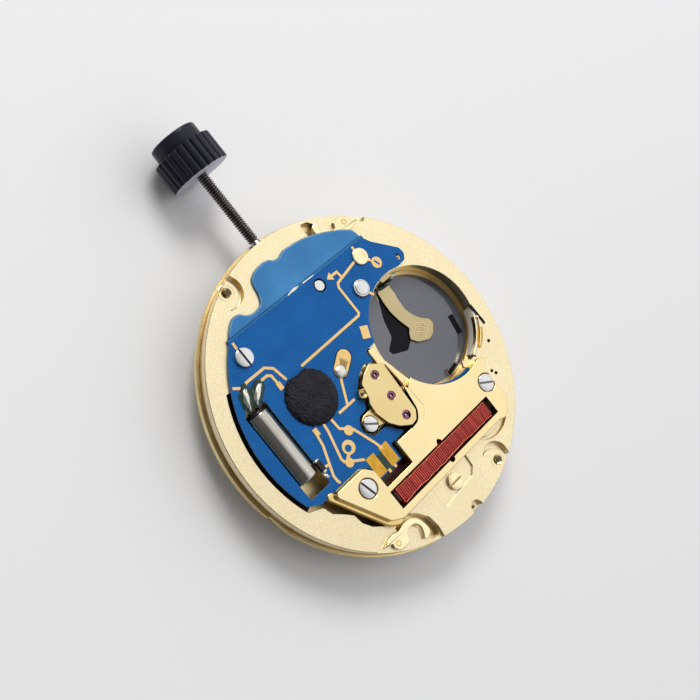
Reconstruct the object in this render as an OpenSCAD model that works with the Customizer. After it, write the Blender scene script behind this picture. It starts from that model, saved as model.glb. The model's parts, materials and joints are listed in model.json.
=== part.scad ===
// Slim quartz watch movement with date, bridge side up, dial side at z = 0.
// The winding stem lies along +X and the centre of the hands is the Z axis.

/* [Plate] */
// Diameter that fits the case
casing_d = 25.6; // [25.4:0.1:26.6]
// Width of the flange beyond the casing diameter
flange_w = 0.2; // [0.1:0.05:0.4]
// Height of the flange above the dial seat
flange_h = 0.55; // [0.4:0.05:0.65]
// Height of the rim above the dial seat
plate_h = 1.75; // [1.7:0.05:1.85]
// Thickness of the web between the train and the motion work
web_t = 0.2; // [0.16:0.02:0.22]
// Depth of the pocket of the motion work above the guard plate
motion_depth = 0.32; // [0.32:0.01:0.34]
// Diameter of the tapped casing holes
casing_screw_d = 0.76; // [0.6:0.02:0.9]
// Depth of the tapped casing holes
casing_screw_depth = 1.1; // [0.8:0.1:1.3]
// Diameter of the holes for the dial feet
foot_d = 0.7; // [0.6:0.05:0.8]

/* [Cell well] */
// Diameter of the button cell that the well takes
cell_d = 9.5; // [9.3:0.1:9.5]
// Radial room between the cell and the wall
cell_room = 0.05; // [0.03:0.01:0.08]
// Thickness of the well's floor
well_floor_t = 0.14; // [0.12:0.01:0.18]
// Thickness of the insulating foil in the well
foil_t = 0.05; // [0.04:0.01:0.08]
// Thickness of the contact springs
spring_t = 0.1; // [0.08:0.01:0.12]

/* [Bridges] */
// Height of the bridges above the rim
bridge_rise = 0.7; // [0.65:0.05:0.75]
// Thickness of the small bridge that holds the jewels
jewel_bridge_t = 0.4; // [0.36:0.02:0.42]
// Diameter of the jewels
jewel_d = 0.68; // [0.6:0.02:0.74]
// Diameter of the pivots
pivot_d = 0.12; // [0.1:0.01:0.14]
// Running room round pivots, pipes and pins
run = 0.02; // [0.015:0.005:0.03]
// Diameter of the large screw heads
screw_d = 1.4; // [1.2:0.05:1.5]
// Diameter of the large screws' thread
screw_thread_d = 0.7; // [0.5:0.05:0.8]
// Height of the screw heads
screw_head_h = 0.25; // [0.2:0.05:0.3]
// Width of the screw slots
screw_slot_w = 0.16; // [0.12:0.02:0.2]

/* [Circuit] */
// Thickness of the circuit board
board_t = 0.15; // [0.12:0.01:0.16]
// Height of the board's top above the rim
board_rise = 0.25; // [0.22:0.01:0.26]
// Width of the printed tracks
track_w = 0.22; // [0.16:0.02:0.26]
// Thickness of the printed tracks
track_t = 0.03; // [0.02:0.01:0.04]
// Diameter of the black dome over the chip
dome_d = 4.2; // [3.8:0.1:4.4]
// Height of the black dome
dome_h = 0.42; // [0.3:0.02:0.46]
// Diameter of the quartz crystal's can
crystal_d = 1.9; // [1.7:0.05:1.9]
// Length of the quartz crystal's can
crystal_len = 5.8; // [5:0.1:5.9]

/* [Motor] */
// Length of the winding
coil_len = 10.9; // [10.4:0.1:11.1]
// Width of the winding
coil_w = 1.34; // [1.2:0.02:1.36]
// Height of the winding
coil_h = 1.34; // [1.2:0.02:1.36]
// Turns in the outer layer that show
coil_turns = 20; // [12:1:24]
// Diameter of the wire of the outer layer
wire_d = 0.13; // [0.08:0.01:0.13]
// Thickness of the soft iron core and stator
iron_t = 0.3; // [0.26:0.02:0.32]
// Diameter of the rotor's magnet
magnet_d = 1.3; // [1.1:0.05:1.35]
// Height of the rotor's magnet
magnet_h = 0.42; // [0.36:0.02:0.44]

/* [Train] */
// Distance of the rotor from the centre
rotor_dist = 3.75; // [3.7:0.01:3.8]
// Distance of the intermediate wheel from the centre
inter_dist = 1.95; // [1.92:0.01:1.98]
// Distance of the third wheel from the centre
third_dist = 1.81; // [1.78:0.01:1.83]
// Thickness of the wheels
wheel_t = 0.1; // [0.08:0.01:0.12]
// Leaves of the rotor's pinion
rotor_z = 8; // [6:1:10]
// Teeth of the intermediate wheel
inter_z = 40; // [36:1:44]
// Leaves of the intermediate pinion
inter_pinion_z = 10; // [8:1:12]
// Teeth of the seconds wheel
seconds_z = 60; // [54:1:64]
// Leaves of the seconds pinion
seconds_pinion_z = 8; // [7:1:10]
// Teeth of the third wheel
third_z = 60; // [54:1:64]
// Leaves of the third pinion
third_pinion_z = 8; // [7:1:10]
// Teeth of the centre wheel
centre_z = 64; // [56:1:70]

/* [Motion work] */
// Distance of the minute wheel from the centre
minute_dist = 1.68; // [1.66:0.01:1.7]
// Leaves of the cannon pinion
cannon_z = 12; // [10:1:13]
// Teeth of the minute wheel
minute_z = 36; // [33:1:38]
// Leaves of the minute pinion
minute_pinion_z = 8; // [7:1:9]
// Teeth of the hour wheel
hour_z = 32; // [30:1:34]
// Teeth of the setting wheel
setting_z = 24; // [22:1:26]
// Outer diameter of the hour wheel's pipe, which takes the hour hand
hour_post_d = 1.2; // [1.16:0.01:1.24]
// Outer diameter of the cannon pinion, which takes the minute hand
minute_post_d = 0.7; // [0.66:0.01:0.72]
// Outer diameter of the seconds post, which takes the seconds hand
seconds_post_d = 0.2; // [0.18:0.01:0.22]
// Reach of the hour wheel's pipe below the dial seat
hour_reach = 0.95; // [0.8:0.05:1.05]
// Step between the ends of the three hand posts
post_step = 0.45; // [0.35:0.05:0.5]

/* [Date] */
// Outer diameter of the date ring
ring_d = 22.6; // [22.2:0.1:22.7]
// Width of the date ring from its edge to the tips of its teeth
ring_w = 2.15; // [2.05:0.05:2.25]
// Thickness of the date ring
ring_t = 0.15; // [0.12:0.01:0.15]
// Teeth of the date ring
ring_z = 31; // [30:1:32]
// Thickness of the guard plate over the date work
guard_t = 0.09; // [0.07:0.01:0.1]

/* [Stem and crown] */
// Height of the stem's axis above the dial seat
stem_z = 0.75; // [0.74:0.01:0.78]
// Diameter of the stem's thread
stem_thread_d = 0.9; // [0.86:0.02:0.94]
// Diameter of the stem's smooth body
stem_body_d = 0.8; // [0.72:0.02:0.8]
// Length of the stem from the centre to the crown
stem_reach = 19.25; // [17:0.25:21]
// Travel of the stem when it is pulled out
stem_travel = 0.9; // [0.7:0.05:0.95]
// Diameter of the crown over its knurls
crown_d = 4.8; // [4:0.1:5.5]
// Length of the crown's knurled part
crown_len = 2.3; // [2:0.1:2.8]
// Diameter of the crown's smooth top
crown_top_d = 3.85; // [3:0.05:3.9]
// Length of the crown's smooth top
crown_top_len = 1.15; // [0.8:0.05:1.4]
// Knurls round the crown
crown_knurls = 26; // [20:1:32]
// Outer diameter of the sliding pinion
slider_d = 1.0; // [0.92:0.02:1.02]

/* [Dial-foot levers] */
// Thickness of the levers that hold the dial feet
lever_t = 0.24; // [0.2:0.01:0.26]
// Diameter of the levers' pivots
lever_pivot_d = 0.54; // [0.5:0.02:0.6]

/* [Hidden] */
$fn = 48;

// Colours of the finishes
gold = [0.90, 0.78, 0.50];
bright_gold = [0.93, 0.76, 0.38];
steel = [0.78, 0.78, 0.80];
brass = [0.86, 0.70, 0.36];
iron = [0.55, 0.55, 0.58];
circuit_blue = [0.05, 0.33, 0.68];
film_blue = [0.20, 0.47, 0.74];
ruby = [0.60, 0.12, 0.40];
copper_red = [0.62, 0.12, 0.12];
jet = [0.06, 0.06, 0.09];
slate = [0.36, 0.37, 0.42];

// Small sizes that many pieces share
eps = 0.01;
gap = 0.05;
plate_r = casing_d / 2;
flange_r = plate_r + flange_w;
bridge_top = plate_h + bridge_rise;
board_top = plate_h + board_rise;
board_z = board_top - board_t;

// Levels of the dial side, counted up from the dial seat
inner_face = guard_t + 0.01;
motion_top = inner_face + motion_depth;
floor_z = motion_top + web_t;
ring_z0 = inner_face + 0.02;
ring_recess_top = ring_z0 + ring_t + 0.02;
well_z = ring_recess_top + well_floor_t;
hour_level = inner_face + 0.02;
date_level = hour_level;
finger_level = date_level + wheel_t + 0.01;
minute_level = motion_top - wheel_t - 0.04;

// Levels of the train, counted up from the web
centre_level = floor_z + 0.1;
third_level = centre_level + wheel_t + 0.26;
inter_level = third_level + wheel_t + 0.28;
seconds_level = inter_level + wheel_t + 0.16;
stator_z = third_level - 0.12;

// Places of the arbors
rotor_at = [-rotor_dist, 0];
inter_at = [-inter_dist, 0];
third_angle = 104;
third_at = third_dist * [cos(third_angle), sin(third_angle)];
minute_m = 2 * minute_dist / (cannon_z + minute_z);
setting_r = minute_m * setting_z / 2;
setting_at = [3.4, 0];
minute_set_dist = minute_m * (minute_z + setting_z) / 2;
minute_x = (pow(minute_dist, 2) - pow(minute_set_dist, 2) + pow(setting_at.x, 2)) / (2 * setting_at.x);
minute_at = [minute_x, sqrt(pow(minute_dist, 2) - pow(minute_x, 2))];
hour_m = 2 * minute_dist / (minute_pinion_z + hour_z);
idler_z = hour_z;
date_z = 2 * hour_z;
date_dist = 5.9;
date_angle = 140;
date_at = date_dist * [cos(date_angle), sin(date_angle)];
idler_dist = hour_m * (hour_z + idler_z) / 2;
idler_date_dist = hour_m * (idler_z + date_z) / 2;
idler_turn = acos((pow(date_dist, 2) + pow(idler_dist, 2) - pow(idler_date_dist, 2))
    / (2 * date_dist * idler_dist));
idler_at = idler_dist * [cos(date_angle - idler_turn), sin(date_angle - idler_turn)];

// Places of the screws, holes and levers
well_at = [0.25, -6.7];
well_r = cell_d / 2 + cell_room;
casing_screws = [[11.3, 5.0], [-11.3, -4.3]];
foot_holes = [[-10.65, 5.22], [10.65, -5.22]];
lever_a_at = [-10.22, 6.72];
coil_screws = [[-5.7, 6.25], [-6.25, -7.45]];
board_screws = [[7.0, 7.25], [5.5, -4.0]];
lug_at = [-2.5, 2.7];
rim_screw_at = [-10.05, -0.15];
yoke_at = [5.15, 2.0];
spring_at = [7.9, 2.08];
ring_bore_d = ring_d - 2 * ring_w;
jumper_at = ring_place(-1.5, 62.8);
stud_at = [7.4, -5.7];
coil_x = -7.75;
coil_y = -0.78;
coil_z = bridge_top - 0.16 - coil_h / 2;
coil_slot = [[-8.52, -6.62], [-6.98, 5.08]];
core_w = 0.6;
core_z = plate_h - iron_t - 0.02;
post_outer_r = 0.5;
crystal_axis_z = bridge_top - crystal_d / 2 - 0.02;
crystal_y = 9.05;
crystal_x0 = -2.45;
dome_at = [1.85, 5.0];
lever_pin_at = [7.6, -1.35];
slider_x = [5.05, 6.25];
groove_x = 7.17;
groove_w = 0.36;
ring_recess_r = ring_d / 2 + 0.06;
inner_r = ring_bore_d / 2 - 0.1;
guard_r = ring_bore_d / 2 + 0.28;

// Place at an angle, counted from the tips of the date ring's teeth
function ring_place(out, angle) = (ring_bore_d / 2 + out) * [cos(angle), sin(angle)];

// Outline helpers

// Corner points of an outline whose entries are [x, y, corner radius]
function round_path(p, steps = 4) = [
    for (i = [0 : len(p) - 1])
        let (n = len(p),
            a = [p[(i + n - 1) % n].x, p[(i + n - 1) % n].y],
            b = [p[i].x, p[i].y],
            c = [p[(i + 1) % n].x, p[(i + 1) % n].y],
            u = (a - b) / norm(a - b),
            v = (c - b) / norm(c - b),
            half = acos(max(-1, min(1, u * v))) / 2,
            r = p[i][2],
            reach = r == 0 || norm(u + v) < 1e-3 ? 0
                : min(r / tan(half), norm(a - b) * 0.49, norm(c - b) * 0.49),
            rr = reach * tan(half),
            w = (u + v) / max(norm(u + v), 1e-6),
            o = b + w * rr / sin(half),
            s = b + u * reach - o,
            e = b + v * reach - o,
            sweep = atan2(s.x * e.y - s.y * e.x, s * e))
        each r == 0 || norm(u + v) < 1e-3 ? [b]
            : [for (k = [0 : steps]) let (t = sweep * k / steps)
                o + [s.x * cos(t) - s.y * sin(t), s.x * sin(t) + s.y * cos(t)]]
];

// Points along an arc
function arc_path(c, r, a0, a1, n = 24) =
    [for (k = [0 : n]) let (a = a0 + (a1 - a0) * k / n) c + r * [cos(a), sin(a)]];

// Corner entries of [x, y] points that stay sharp
function sharp(p) = [for (q = p) [q.x, q.y, 0]];

// Angle of one tooth of a gear that meshes with another, seen along the line to it
function mesh_phase(phase, z_from, z_to, line) =
    line + 180 - (phase - line) * z_from / z_to + 180 / z_to;

// Angle from one place to another
function line_angle(a, b) = atan2(b.y - a.y, b.x - a.x);

// Outline of a spur gear with slim straight flanks
module gear_2d(z, m, phase = 0, bottom = 1.3, tip = 0.95) {
    pitch = 360 / z;
    polygon([for (i = [0 : z - 1], k = [[-0.32, -bottom], [-0.11, tip], [0.11, tip], [0.32, -bottom]])
        let (a = phase + (i + k[0]) * pitch, r = m * (z / 2 + k[1])) r * [cos(a), sin(a)]]);
}

// Spur wheel with a web that four arms cross
module wheel(z, m, t, phase, hub_r, arms = 4) {
    rim_r = m * (z / 2 - 1.3) * 0.84;
    difference() {
        linear_extrude(t) gear_2d(z, m, phase);
        for (i = [0 : arms - 1]) rotate(i * 360 / arms + 360 / arms / 2)
            translate([0, 0, -eps]) linear_extrude(t + 2 * eps)
                intersection() {
                    difference() {
                        circle(rim_r);
                        circle(hub_r);
                    }
                    polygon([[hub_r * 0.5, 0], [rim_r * 1.4, -rim_r * 0.78], [rim_r * 1.4, rim_r * 0.78]]);
                }
    }
}

// Straight strip with round ends between two places
module strip_2d(a, b, w) {
    translate(a) circle(w / 2, $fn = 16);
    translate(b) circle(w / 2, $fn = 16);
    translate(a) rotate(line_angle(a, b)) translate([0, -w / 2]) square([norm(b - a), w]);
}

// Ribbon with mitred corners along a row of places
module track_2d(p, w = track_w) {
    n = len(p);
    side = [for (i = [0 : n - 1])
        let (d0 = i == 0 ? p[1] - p[0] : p[i] - p[i - 1], d1 = i == n - 1 ? d0 : p[i + 1] - p[i],
            n0 = [-d0.y, d0.x] / norm(d0), n1 = [-d1.y, d1.x] / norm(d1))
        (n0 + n1) / (1 + n0 * n1) * w / 2];
    polygon(concat([for (i = [0 : n - 1]) p[i] + side[i]], [for (i = [n - 1 : -1 : 0]) p[i] - side[i]]));
}

// Ring with flat faces
module ring(r_out, r_in, h) {
    difference() {
        cylinder(r = r_out, h = h);
        translate([0, 0, -eps]) cylinder(r = r_in, h = h + 2 * eps);
    }
}

// Slotted cheese-head screw that stands on z = 0 and reaches down by its thread
module screw(head_d, head_h, thread_d, length, slot_angle) {
    slot_h = head_h * 0.45;
    difference() {
        union() {
            rotate_extrude() polygon([[0, 0], [head_d / 2, 0], [head_d / 2, head_h - 0.05],
                [head_d / 2 - 0.05, head_h], [0, head_h]]);
            translate([0, 0, -length]) cylinder(d = thread_d, h = length + eps);
        }
        rotate(slot_angle) translate([-head_d, -screw_slot_w / 2, head_h - slot_h])
            cube([2 * head_d, screw_slot_w, head_h]);
    }
}

// Bar along X with its centre line at the height of the stem
module x_rod(x0, x1, r) {
    translate([x0, 0, stem_z]) rotate([0, 90, 0]) cylinder(r = r, h = x1 - x0);
}

// Outlines of the plate's pockets

// Deep pocket of the crystal, and the recess beside the diagonal edge of the bridge
crystal_pocket = round_path(concat(
    sharp(arc_path([0, 0], 11.45, 60, 111, 16)),
    [[-4.6, 9.55, 0.2], [-5.35, 9.3, 0.3], [-5.95, 8.6, 0.3], [-6.5, 8.05, 0.2], [-7.3, 7.95, 0.3],
    [-8.0, 7.5, 0.2], [-8.75, 6.55, 0.3], [-8.35, 6.15, 0.1], [-4.5, 8.25, 0.1],
    [-4.1, 7.85, 0.2], [3.8, 7.85, 0.3], [5.6, 8.6, 0.3]]));

// Pocket of the train and the stator
train_pocket = round_path([[-6.6, 1.6, 0.4], [-4.7, 3.6, 0.4], [-1.9, 3.75, 0.3], [1.0, 3.5, 0.5],
    [2.05, 1.4, 0.5], [2.05, -1.0, 0.5], [1.2, -1.85, 0.3], [-2.9, -1.7, 0.3], [-4.6, -2.6, 0.4],
    [-6.6, -1.2, 0.4]]);

// Channel of the stator between the coil's ends
stator_channel = round_path([[-6.8, 7.15, 0.3], [-4.85, 7.15, 0.3], [-4.85, 5.2, 0.3], [-4.9, 1.0, 0.3],
    [-4.9, -3.2, 0.3], [-5.3, -5.2, 0.3], [-5.35, -8.15, 0.2], [-6.9, -8.15, 0.2], [-6.8, -5.0, 0.3]]);

// Shallower rooms round the ends of the core
core_rooms = [
    round_path([[-8.45, 4.5, 0.1], [-6.7, 4.5, 0.1], [-4.85, 5.1, 0.2], [-4.85, 7.15, 0.3],
        [-6.5, 7.15, 0.3], [-8.45, 5.85, 0.3]]),
    round_path([[-8.45, -6.0, 0.1], [-6.7, -6.0, 0.1], [-5.35, -6.35, 0.3], [-5.35, -8.15, 0.2],
        [-7.3, -8.15, 0.3], [-8.45, -7.4, 0.3]])
];

// Pocket of the setting lever and the yoke
keyless_pocket = round_path([[4.5, 2.7, 0.4], [8.2, 2.7, 0.4], [9.3, 1.2, 0.4], [9.3, -2.0, 0.5],
    [8.6, -2.7, 0.4], [6.4, -2.9, 0.3], [4.6, -2.2, 0.4]]);

// Recess round the head and the hook of a dial-foot lever, open at the rim
lever_recess = round_path([[-9.35, 8.35, 0.2], [-9.15, 7.3, 0.2], [-9.3, 6.3, 0.2], [-9.12, 5.6, 0.3],
    [-9.15, 4.6, 0.3], [-9.75, 3.95, 0.4], [-10.5, 3.42, 0.5], [-11.5, 3.3, 0.4], [-12.2, 3.4, 0.2],
    [-14, 4.0, 0], [-12, 9.5, 0]]);

// Deeper crescent behind the hook
hook_recess = round_path([[-9.15, 6.1, 0.15], [-9.2, 4.6, 0.3], [-9.8, 3.95, 0.4], [-10.5, 3.45, 0.5],
    [-11.45, 3.35, 0.3], [-12.05, 3.55, 0.2], [-11.9, 4.2, 0.2], [-11.3, 4.75, 0.3], [-10.65, 4.55, 0.3],
    [-10.0, 4.95, 0.3], [-9.85, 5.8, 0.2], [-9.55, 6.1, 0.1]]);

module main_plate() {
    color(gold) difference() {
        union() {
            cylinder(r = plate_r, h = plate_h, $fn = 180);
            difference() {
                cylinder(r = flange_r, h = flange_h, $fn = 180);
                rotate(102) translate([plate_r + flange_w * 0.4, 0, -eps])
                    cube([2, 9, flange_h + 2 * eps]);
            }
        }
        plate_dial_cuts();
        plate_bridge_cuts();
        plate_holes();
    }
    color(gold) plate_posts();
}

// Post with a hole down its middle
module post(p, r, hole_r, z0, z1) {
    translate([p.x, p.y, z0 - eps]) difference() {
        cylinder(r = r, h = z1 - z0 + eps);
        if (hole_r > 0) translate([0, 0, -1]) cylinder(r = hole_r, h = 4);
    }
}

// Threaded tubes for the screws, pressed into the plate by their feet
module screw_tubes() {
    thread_r = screw_thread_d / 2 + run;
    color(gold) {
        for (p = coil_screws) {
            post(p, tube_foot_r, thread_r, tube_foot_z + 2 * eps, stator_z);
            post(p, post_outer_r, thread_r, stator_z - 0.03, plate_h);
        }
        for (p = board_screws) {
            post(p, tube_foot_r, thread_r, tube_foot_z + 2 * eps, plate_h + 2 * eps);
            post(p, 0.62, thread_r, plate_h + eps, board_z - eps);
        }
        post(lug_at, 0.45, small_thread_d / 2 + run, floor_z + eps, jewel_seat);
    }
}

tube_foot_r = 0.45;
tube_foot_z = 0.62;

module plate_posts() {
    // Pivots of the keyless work
    low = stem_z + stem_body_d / 2 + 0.06;
    post(lever_pin_at, 0.2, 0, low, lever_z + 0.27);
    post(yoke_at, 0.14, 0, low, lever_z + 0.22);
    post(spring_at, 0.28, 0, low, lever_z + 0.24);
    post(spring_at, 0.14, 0, low, lever_z + 0.4);
    // Posts of the dial side
    for (p = [minute_at, setting_at, idler_at]) post(p, post_r, 0, guard_t + 0.01, motion_top + eps);
    post(date_at, 0.3, 0, guard_t + 0.01, finger_level + 0.1);
    post(jumper_at, 0.2, 0, guard_t + 0.01, ring_recess_top + eps);
}

jewel_seat = plate_h + 0.15;

module plate_dial_cuts() {
    translate([0, 0, -eps]) cylinder(r = guard_r + 0.05, h = inner_face + eps, $fn = 120);
    translate([0, 0, -eps]) difference() {
        cylinder(r = ring_recess_r, h = ring_recess_top + eps, $fn = 120);
        translate([0, 0, -eps]) cylinder(r = inner_r, h = 1, $fn = 120);
    }
    translate([0, 0, 0]) {
        cylinder(r = hour_m * (hour_z / 2 + 1) + 0.12, h = motion_top);
        translate(minute_at) cylinder(r = minute_m * (minute_z / 2 + 1) + 0.1, h = motion_top);
        translate(setting_at) cylinder(r = setting_r + minute_m + 0.1, h = motion_top);
        translate(idler_at) cylinder(r = hour_m * (idler_z / 2 + 1) + 0.1, h = date_level + wheel_t + 0.05);
        translate(date_at) cylinder(r = finger_r + 0.08, h = finger_level + 0.08);
    }
    linear_extrude(ring_recess_top) polygon(jumper_room);
}

jumper_room = round_path([for (k = [[-2.7, 66.2, 0.3], [-0.05, 35.6, 0.3], [0.23, 31.5, 0.2],
    [0.82, 43.8, 0.1], [0.8, 59.8, 0.1], [-0.63, 67.9, 0.3]])
    let (q = ring_place(k[0], k[1])) [q.x, q.y, k[2]]]);
finger_r = ring_bore_d / 2 + 0.3 - date_dist;

module plate_bridge_cuts() {
    cut = plate_h;
    translate([0, 0, floor_z]) linear_extrude(cut) polygon(train_pocket);
    translate([0, 0, stator_z - 0.04]) linear_extrude(cut) polygon(stator_channel);
    for (room = core_rooms) translate([0, 0, core_z - 0.03]) linear_extrude(cut) polygon(room);
    translate([0, 0, crystal_axis_z - crystal_d / 2 - 0.06]) linear_extrude(cut) polygon(crystal_pocket);
    translate([0, 0, stem_z + stem_body_d / 2 + 0.06]) linear_extrude(cut) polygon(keyless_pocket);
    translate([coil_slot[0].x - 0.1, coil_slot[0].y - 0.9, coil_z - coil_h / 2 - 0.1])
        cube([coil_slot[1].x - coil_slot[0].x + 0.3, coil_slot[1].y - coil_slot[0].y + 2.1, cut]);
    translate([well_at.x, well_at.y, well_z]) cylinder(r = well_r, h = cut, $fn = 120);
    clamp_cut();
    for (turn = [0, 180]) rotate(turn) {
        translate([0, 0, plate_h - lever_t - 0.03]) linear_extrude(cut) polygon(lever_recess);
        translate([0, 0, plate_h - lever_t - 0.5]) linear_extrude(cut) polygon(hook_recess);
    }
    rim_recesses();
}

// Shallow recesses, notches and marks that show on the rim
module rim_recesses() {
    shallow = plate_h - 0.14;
    translate([0, 0, shallow]) linear_extrude(1)
        polygon(round_path([[-9.0, 1.9, 0.05], [-10.8, 1.95, 0.1], [-10.95, 1.7, 0.1], [-10.75, 0, 0.3],
            [-10.7, -1.6, 0.2], [-10.2, -2.2, 0.3], [-9.0, -2.3, 0.05]]));
    translate([-12.62, -0.3, plate_h - 0.45]) cylinder(r = 0.52, h = 1);
    translate([0, 0, plate_h - 0.5]) linear_extrude(1) difference() {
        translate(casing_screws[0]) circle(1.32);
        translate(casing_screws[0] + [0.0, 0.35]) circle(1.2);
    }
    translate([0, 0, plate_h - 0.4]) linear_extrude(1) difference() {
        translate(casing_screws[1] + [0.25, -0.1]) circle(1.2);
        translate(casing_screws[1] + [-0.1, 0.35]) circle(1.2);
    }
    translate([0, 0, plate_h - 0.35]) linear_extrude(1) difference() {
        translate([-7.4, -5.9]) circle(2.5);
        translate([-7.0, -5.5]) circle(2.45);
    }
    translate([0, 0, plate_h - 0.9]) linear_extrude(1) polygon(round_path([[-2.9, -11.35, 0.08],
        [-1.1, -11.35, 0.08], [-1.1, -11.05, 0.08], [-2.9, -11.05, 0.08]]));
}

// Room of the clamp spring beside the well
module clamp_cut() {
    translate([0, 0, plate_h - 0.85]) linear_extrude(2)
        polygon(round_path(concat(sharp(arc_path(well_at, well_r + 0.75, 207, 247, 10)),
            sharp(arc_path(well_at, well_r - 0.2, 247, 200, 10)))));
}

module plate_holes() {
    for (p = casing_screws) translate([p.x, p.y, plate_h - casing_screw_depth])
        cylinder(d = casing_screw_d, h = 2);
    for (p = foot_holes) translate([p.x, p.y, -eps]) cylinder(d = foot_d, h = plate_h - lever_t - 0.13);
    for (p = [[-6.4, -9.25], [-6.05, -9.05], [-4.15, -10.6], [-12.55, -0.25]])
        translate([p.x, p.y, plate_h - 0.9]) cylinder(r = 0.13, h = 2);
    for (turn = [0, 180]) rotate(turn) translate([lever_a_at.x, lever_a_at.y, 0.5])
        cylinder(d = lever_pivot_d - 0.16, h = 2);
    for (p = concat(coil_screws, board_screws)) translate([p.x, p.y, tube_foot_z])
        cylinder(r = tube_foot_r, h = 2);
    translate([rim_screw_at.x, rim_screw_at.y, 0.7]) cylinder(d = screw_thread_d + 2 * run, h = 2);
    for (p = dial_screws) translate([p.x, p.y, -eps]) cylinder(d = dial_thread_d + 2 * run, h = 0.55);
    // Bearings of the arbors in the web
    for (p = [rotor_at, inter_at, third_at]) translate([p.x, p.y, 0]) {
        translate([0, 0, motion_top]) cylinder(r = plate_jewel_r, h = web_t + eps);
        cylinder(r = plate_jewel_r - 0.1, h = motion_top + eps);
    }
    translate([0, 0, -eps]) cylinder(r = centre_pipe_r + run, h = floor_z + 2 * eps);
    // Bore of the stem, its pilot and the room of the sliding pinion
    x_rod(9.0, flange_r + 1, stem_body_d / 2 + run);
    x_rod(6.3, 9.2, stem_body_d / 2 + run);
    // Slot through which the setting lever's peg reaches the stem
    translate([groove_x - 0.3, -0.3, stem_z]) cube([stem_travel + 0.6, 0.6, 1]);
    x_rod(pilot_x0 - 0.15, 4.9, pilot_r + run);
    translate([slider_x[0] - 0.65, -slider_d / 2 - 0.08, inner_face + 0.02])
        cube([slider_x[1] - slider_x[0] + 0.75, slider_d + 0.16, plate_h]);
    translate([setting_at.x, -0.3, minute_level - 0.02])
        cube([slider_x[0] - setting_at.x, 0.6, wheel_t + 0.06]);
}

plate_jewel_r = 0.26;
centre_pipe_r = 0.22;
pilot_x0 = 3.45;
pilot_r = 0.2;
dial_thread_d = 0.5;
dial_screws = [[-7.6, -2.6], [6.6, 3.7], [-0.6, 7.9]];

// Large bridge over the coil, with the slot that shows the winding
module bridge_2d() {
    body = round_path(concat(
        [[-4.38, 8.75, 0.3], [-8.55, 6.4, 0.35], [-9.05, 5.5, 0.5], [-9.05, -6.3, 0.3],
        [-9.25, -6.85, 0.3], [-8.9, -7.65, 0.3], [-8.1, -8.12, 0.4]],
        sharp(arc_path(well_at, well_r + 0.1, 198, 116, 18)),
        [[-2.4, -1.5, 0.1], [-4.2, -1.62, 0.3], [-4.98, -0.75, 0.3], [-4.72, 0.3, 0.2], [-4.72, 2.12, 0.15],
        [-6.6, 2.12, 0.1], [-6.6, 4.95, 0.1], [-5.1, 4.95, 0.4], [-4.38, 5.6, 0.4]]));
    difference() {
        polygon(body);
        translate(coil_slot[0]) square(coil_slot[1] - coil_slot[0]);
        for (x = [coil_slot[0].x, coil_slot[1].x]) translate([x, -0.75]) circle(0.26);
    }
}

module coil_bridge() {
    color(gold) difference() {
        union() {
            translate([0, 0, plate_h]) linear_extrude(bridge_rise) bridge_2d();
            // Lower tab beside the small bridge
            translate([0, 0, tab_z]) linear_extrude(board_top - tab_z)
                polygon(round_path([[-2.9, -1.05, 0], [1.45, -1.02, 0.15], [1.6, -1.15, 0.1],
                    [1.6, -1.75, 0.15], [0.25, -1.74, 0.3], [-2.9, -2.7, 0]]));
        }
        for (p = coil_screws) translate([p.x, p.y, 0]) {
            cylinder(d = screw_thread_d + 2 * run, h = 4);
            translate([0, 0, bridge_top - screw_head_h]) cylinder(d = screw_d + 0.12, h = 1);
        }
        translate([0, 0, plate_h - eps]) linear_extrude(bridge_rise - 0.3) polygon(bridge_hollow);
    }
}

tab_z = seconds_level + wheel_t + 0.05;

// Room under the bridge for the rotor and the ends of the intermediate wheel
bridge_hollow = round_path([[-2.2, -1.7, 0], [-2.2, -0.6, 0], [-5.2, -0.6, 0.2], [-5.2, 1.2, 0.2],
    [-4.6, 1.6, 0], [-4.0, 3.0, 0], [0, 3, 0], [0, -1.5, 0]]);

// Small bridge that carries the three jewels of the train
small_bridge_outline = round_path([[-4.62, 0.12, 0.15], [-4.55, -0.45, 0.3], [-3.95, -0.95, 0.35],
    [0.25, -1.18, 0.25], [0.92, -0.15, 0.3], [0.55, 0.75, 0.3], [0.12, 1.38, 0.2], [-0.95, 1.62, 0.25],
    [-1.3, 1.86, 0.4], [-2.2, 1.95, 0.5], [-3.3, 1.62, 0.6], [-4.05, 1.0, 0.4]]);

module jewel_bridge() {
    color(gold) difference() {
        union() {
            translate([0, 0, bridge_top - jewel_bridge_t]) linear_extrude(jewel_bridge_t)
                polygon(small_bridge_outline);
            translate([0, 0, jewel_seat]) linear_extrude(bridge_top - jewel_bridge_t - jewel_seat + 0.1)
                polygon(round_path([[-3.15, 1.5, 0], [-1.65, 1.6, 0], [-1.7, 2.75, 0.3], [-1.95, 3.25, 0.4],
                    [-2.95, 3.3, 0.4], [-3.2, 2.75, 0.4]]));
        }
        for (p = [rotor_at, inter_at, [0, 0], third_at]) translate([p.x, p.y, 0])
            cylinder(d = p == third_at ? 0.44 : jewel_d, h = 4);
        translate([lug_at.x, lug_at.y, 0]) cylinder(d = small_thread_d + 2 * run, h = 4);
        translate([lug_at.x, lug_at.y, lug_top]) cylinder(d = small_screw_d + 0.1, h = 4);
    }
}

small_thread_d = screw_thread_d - 0.2;
small_screw_d = screw_d - 0.22;
lug_top = jewel_seat + 0.12;

module jewel(p, r, z0, h) {
    translate([p.x, p.y, z0]) difference() {
        cylinder(r = r, h = h);
        translate([0, 0, -eps]) cylinder(r = pivot_d / 2 + run, h = h + 2 * eps);
        translate([0, 0, h - 0.05]) cylinder(r1 = pivot_d / 2 + run, r2 = pivot_d / 2 + 0.12, h = 0.051);
    }
}

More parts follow.
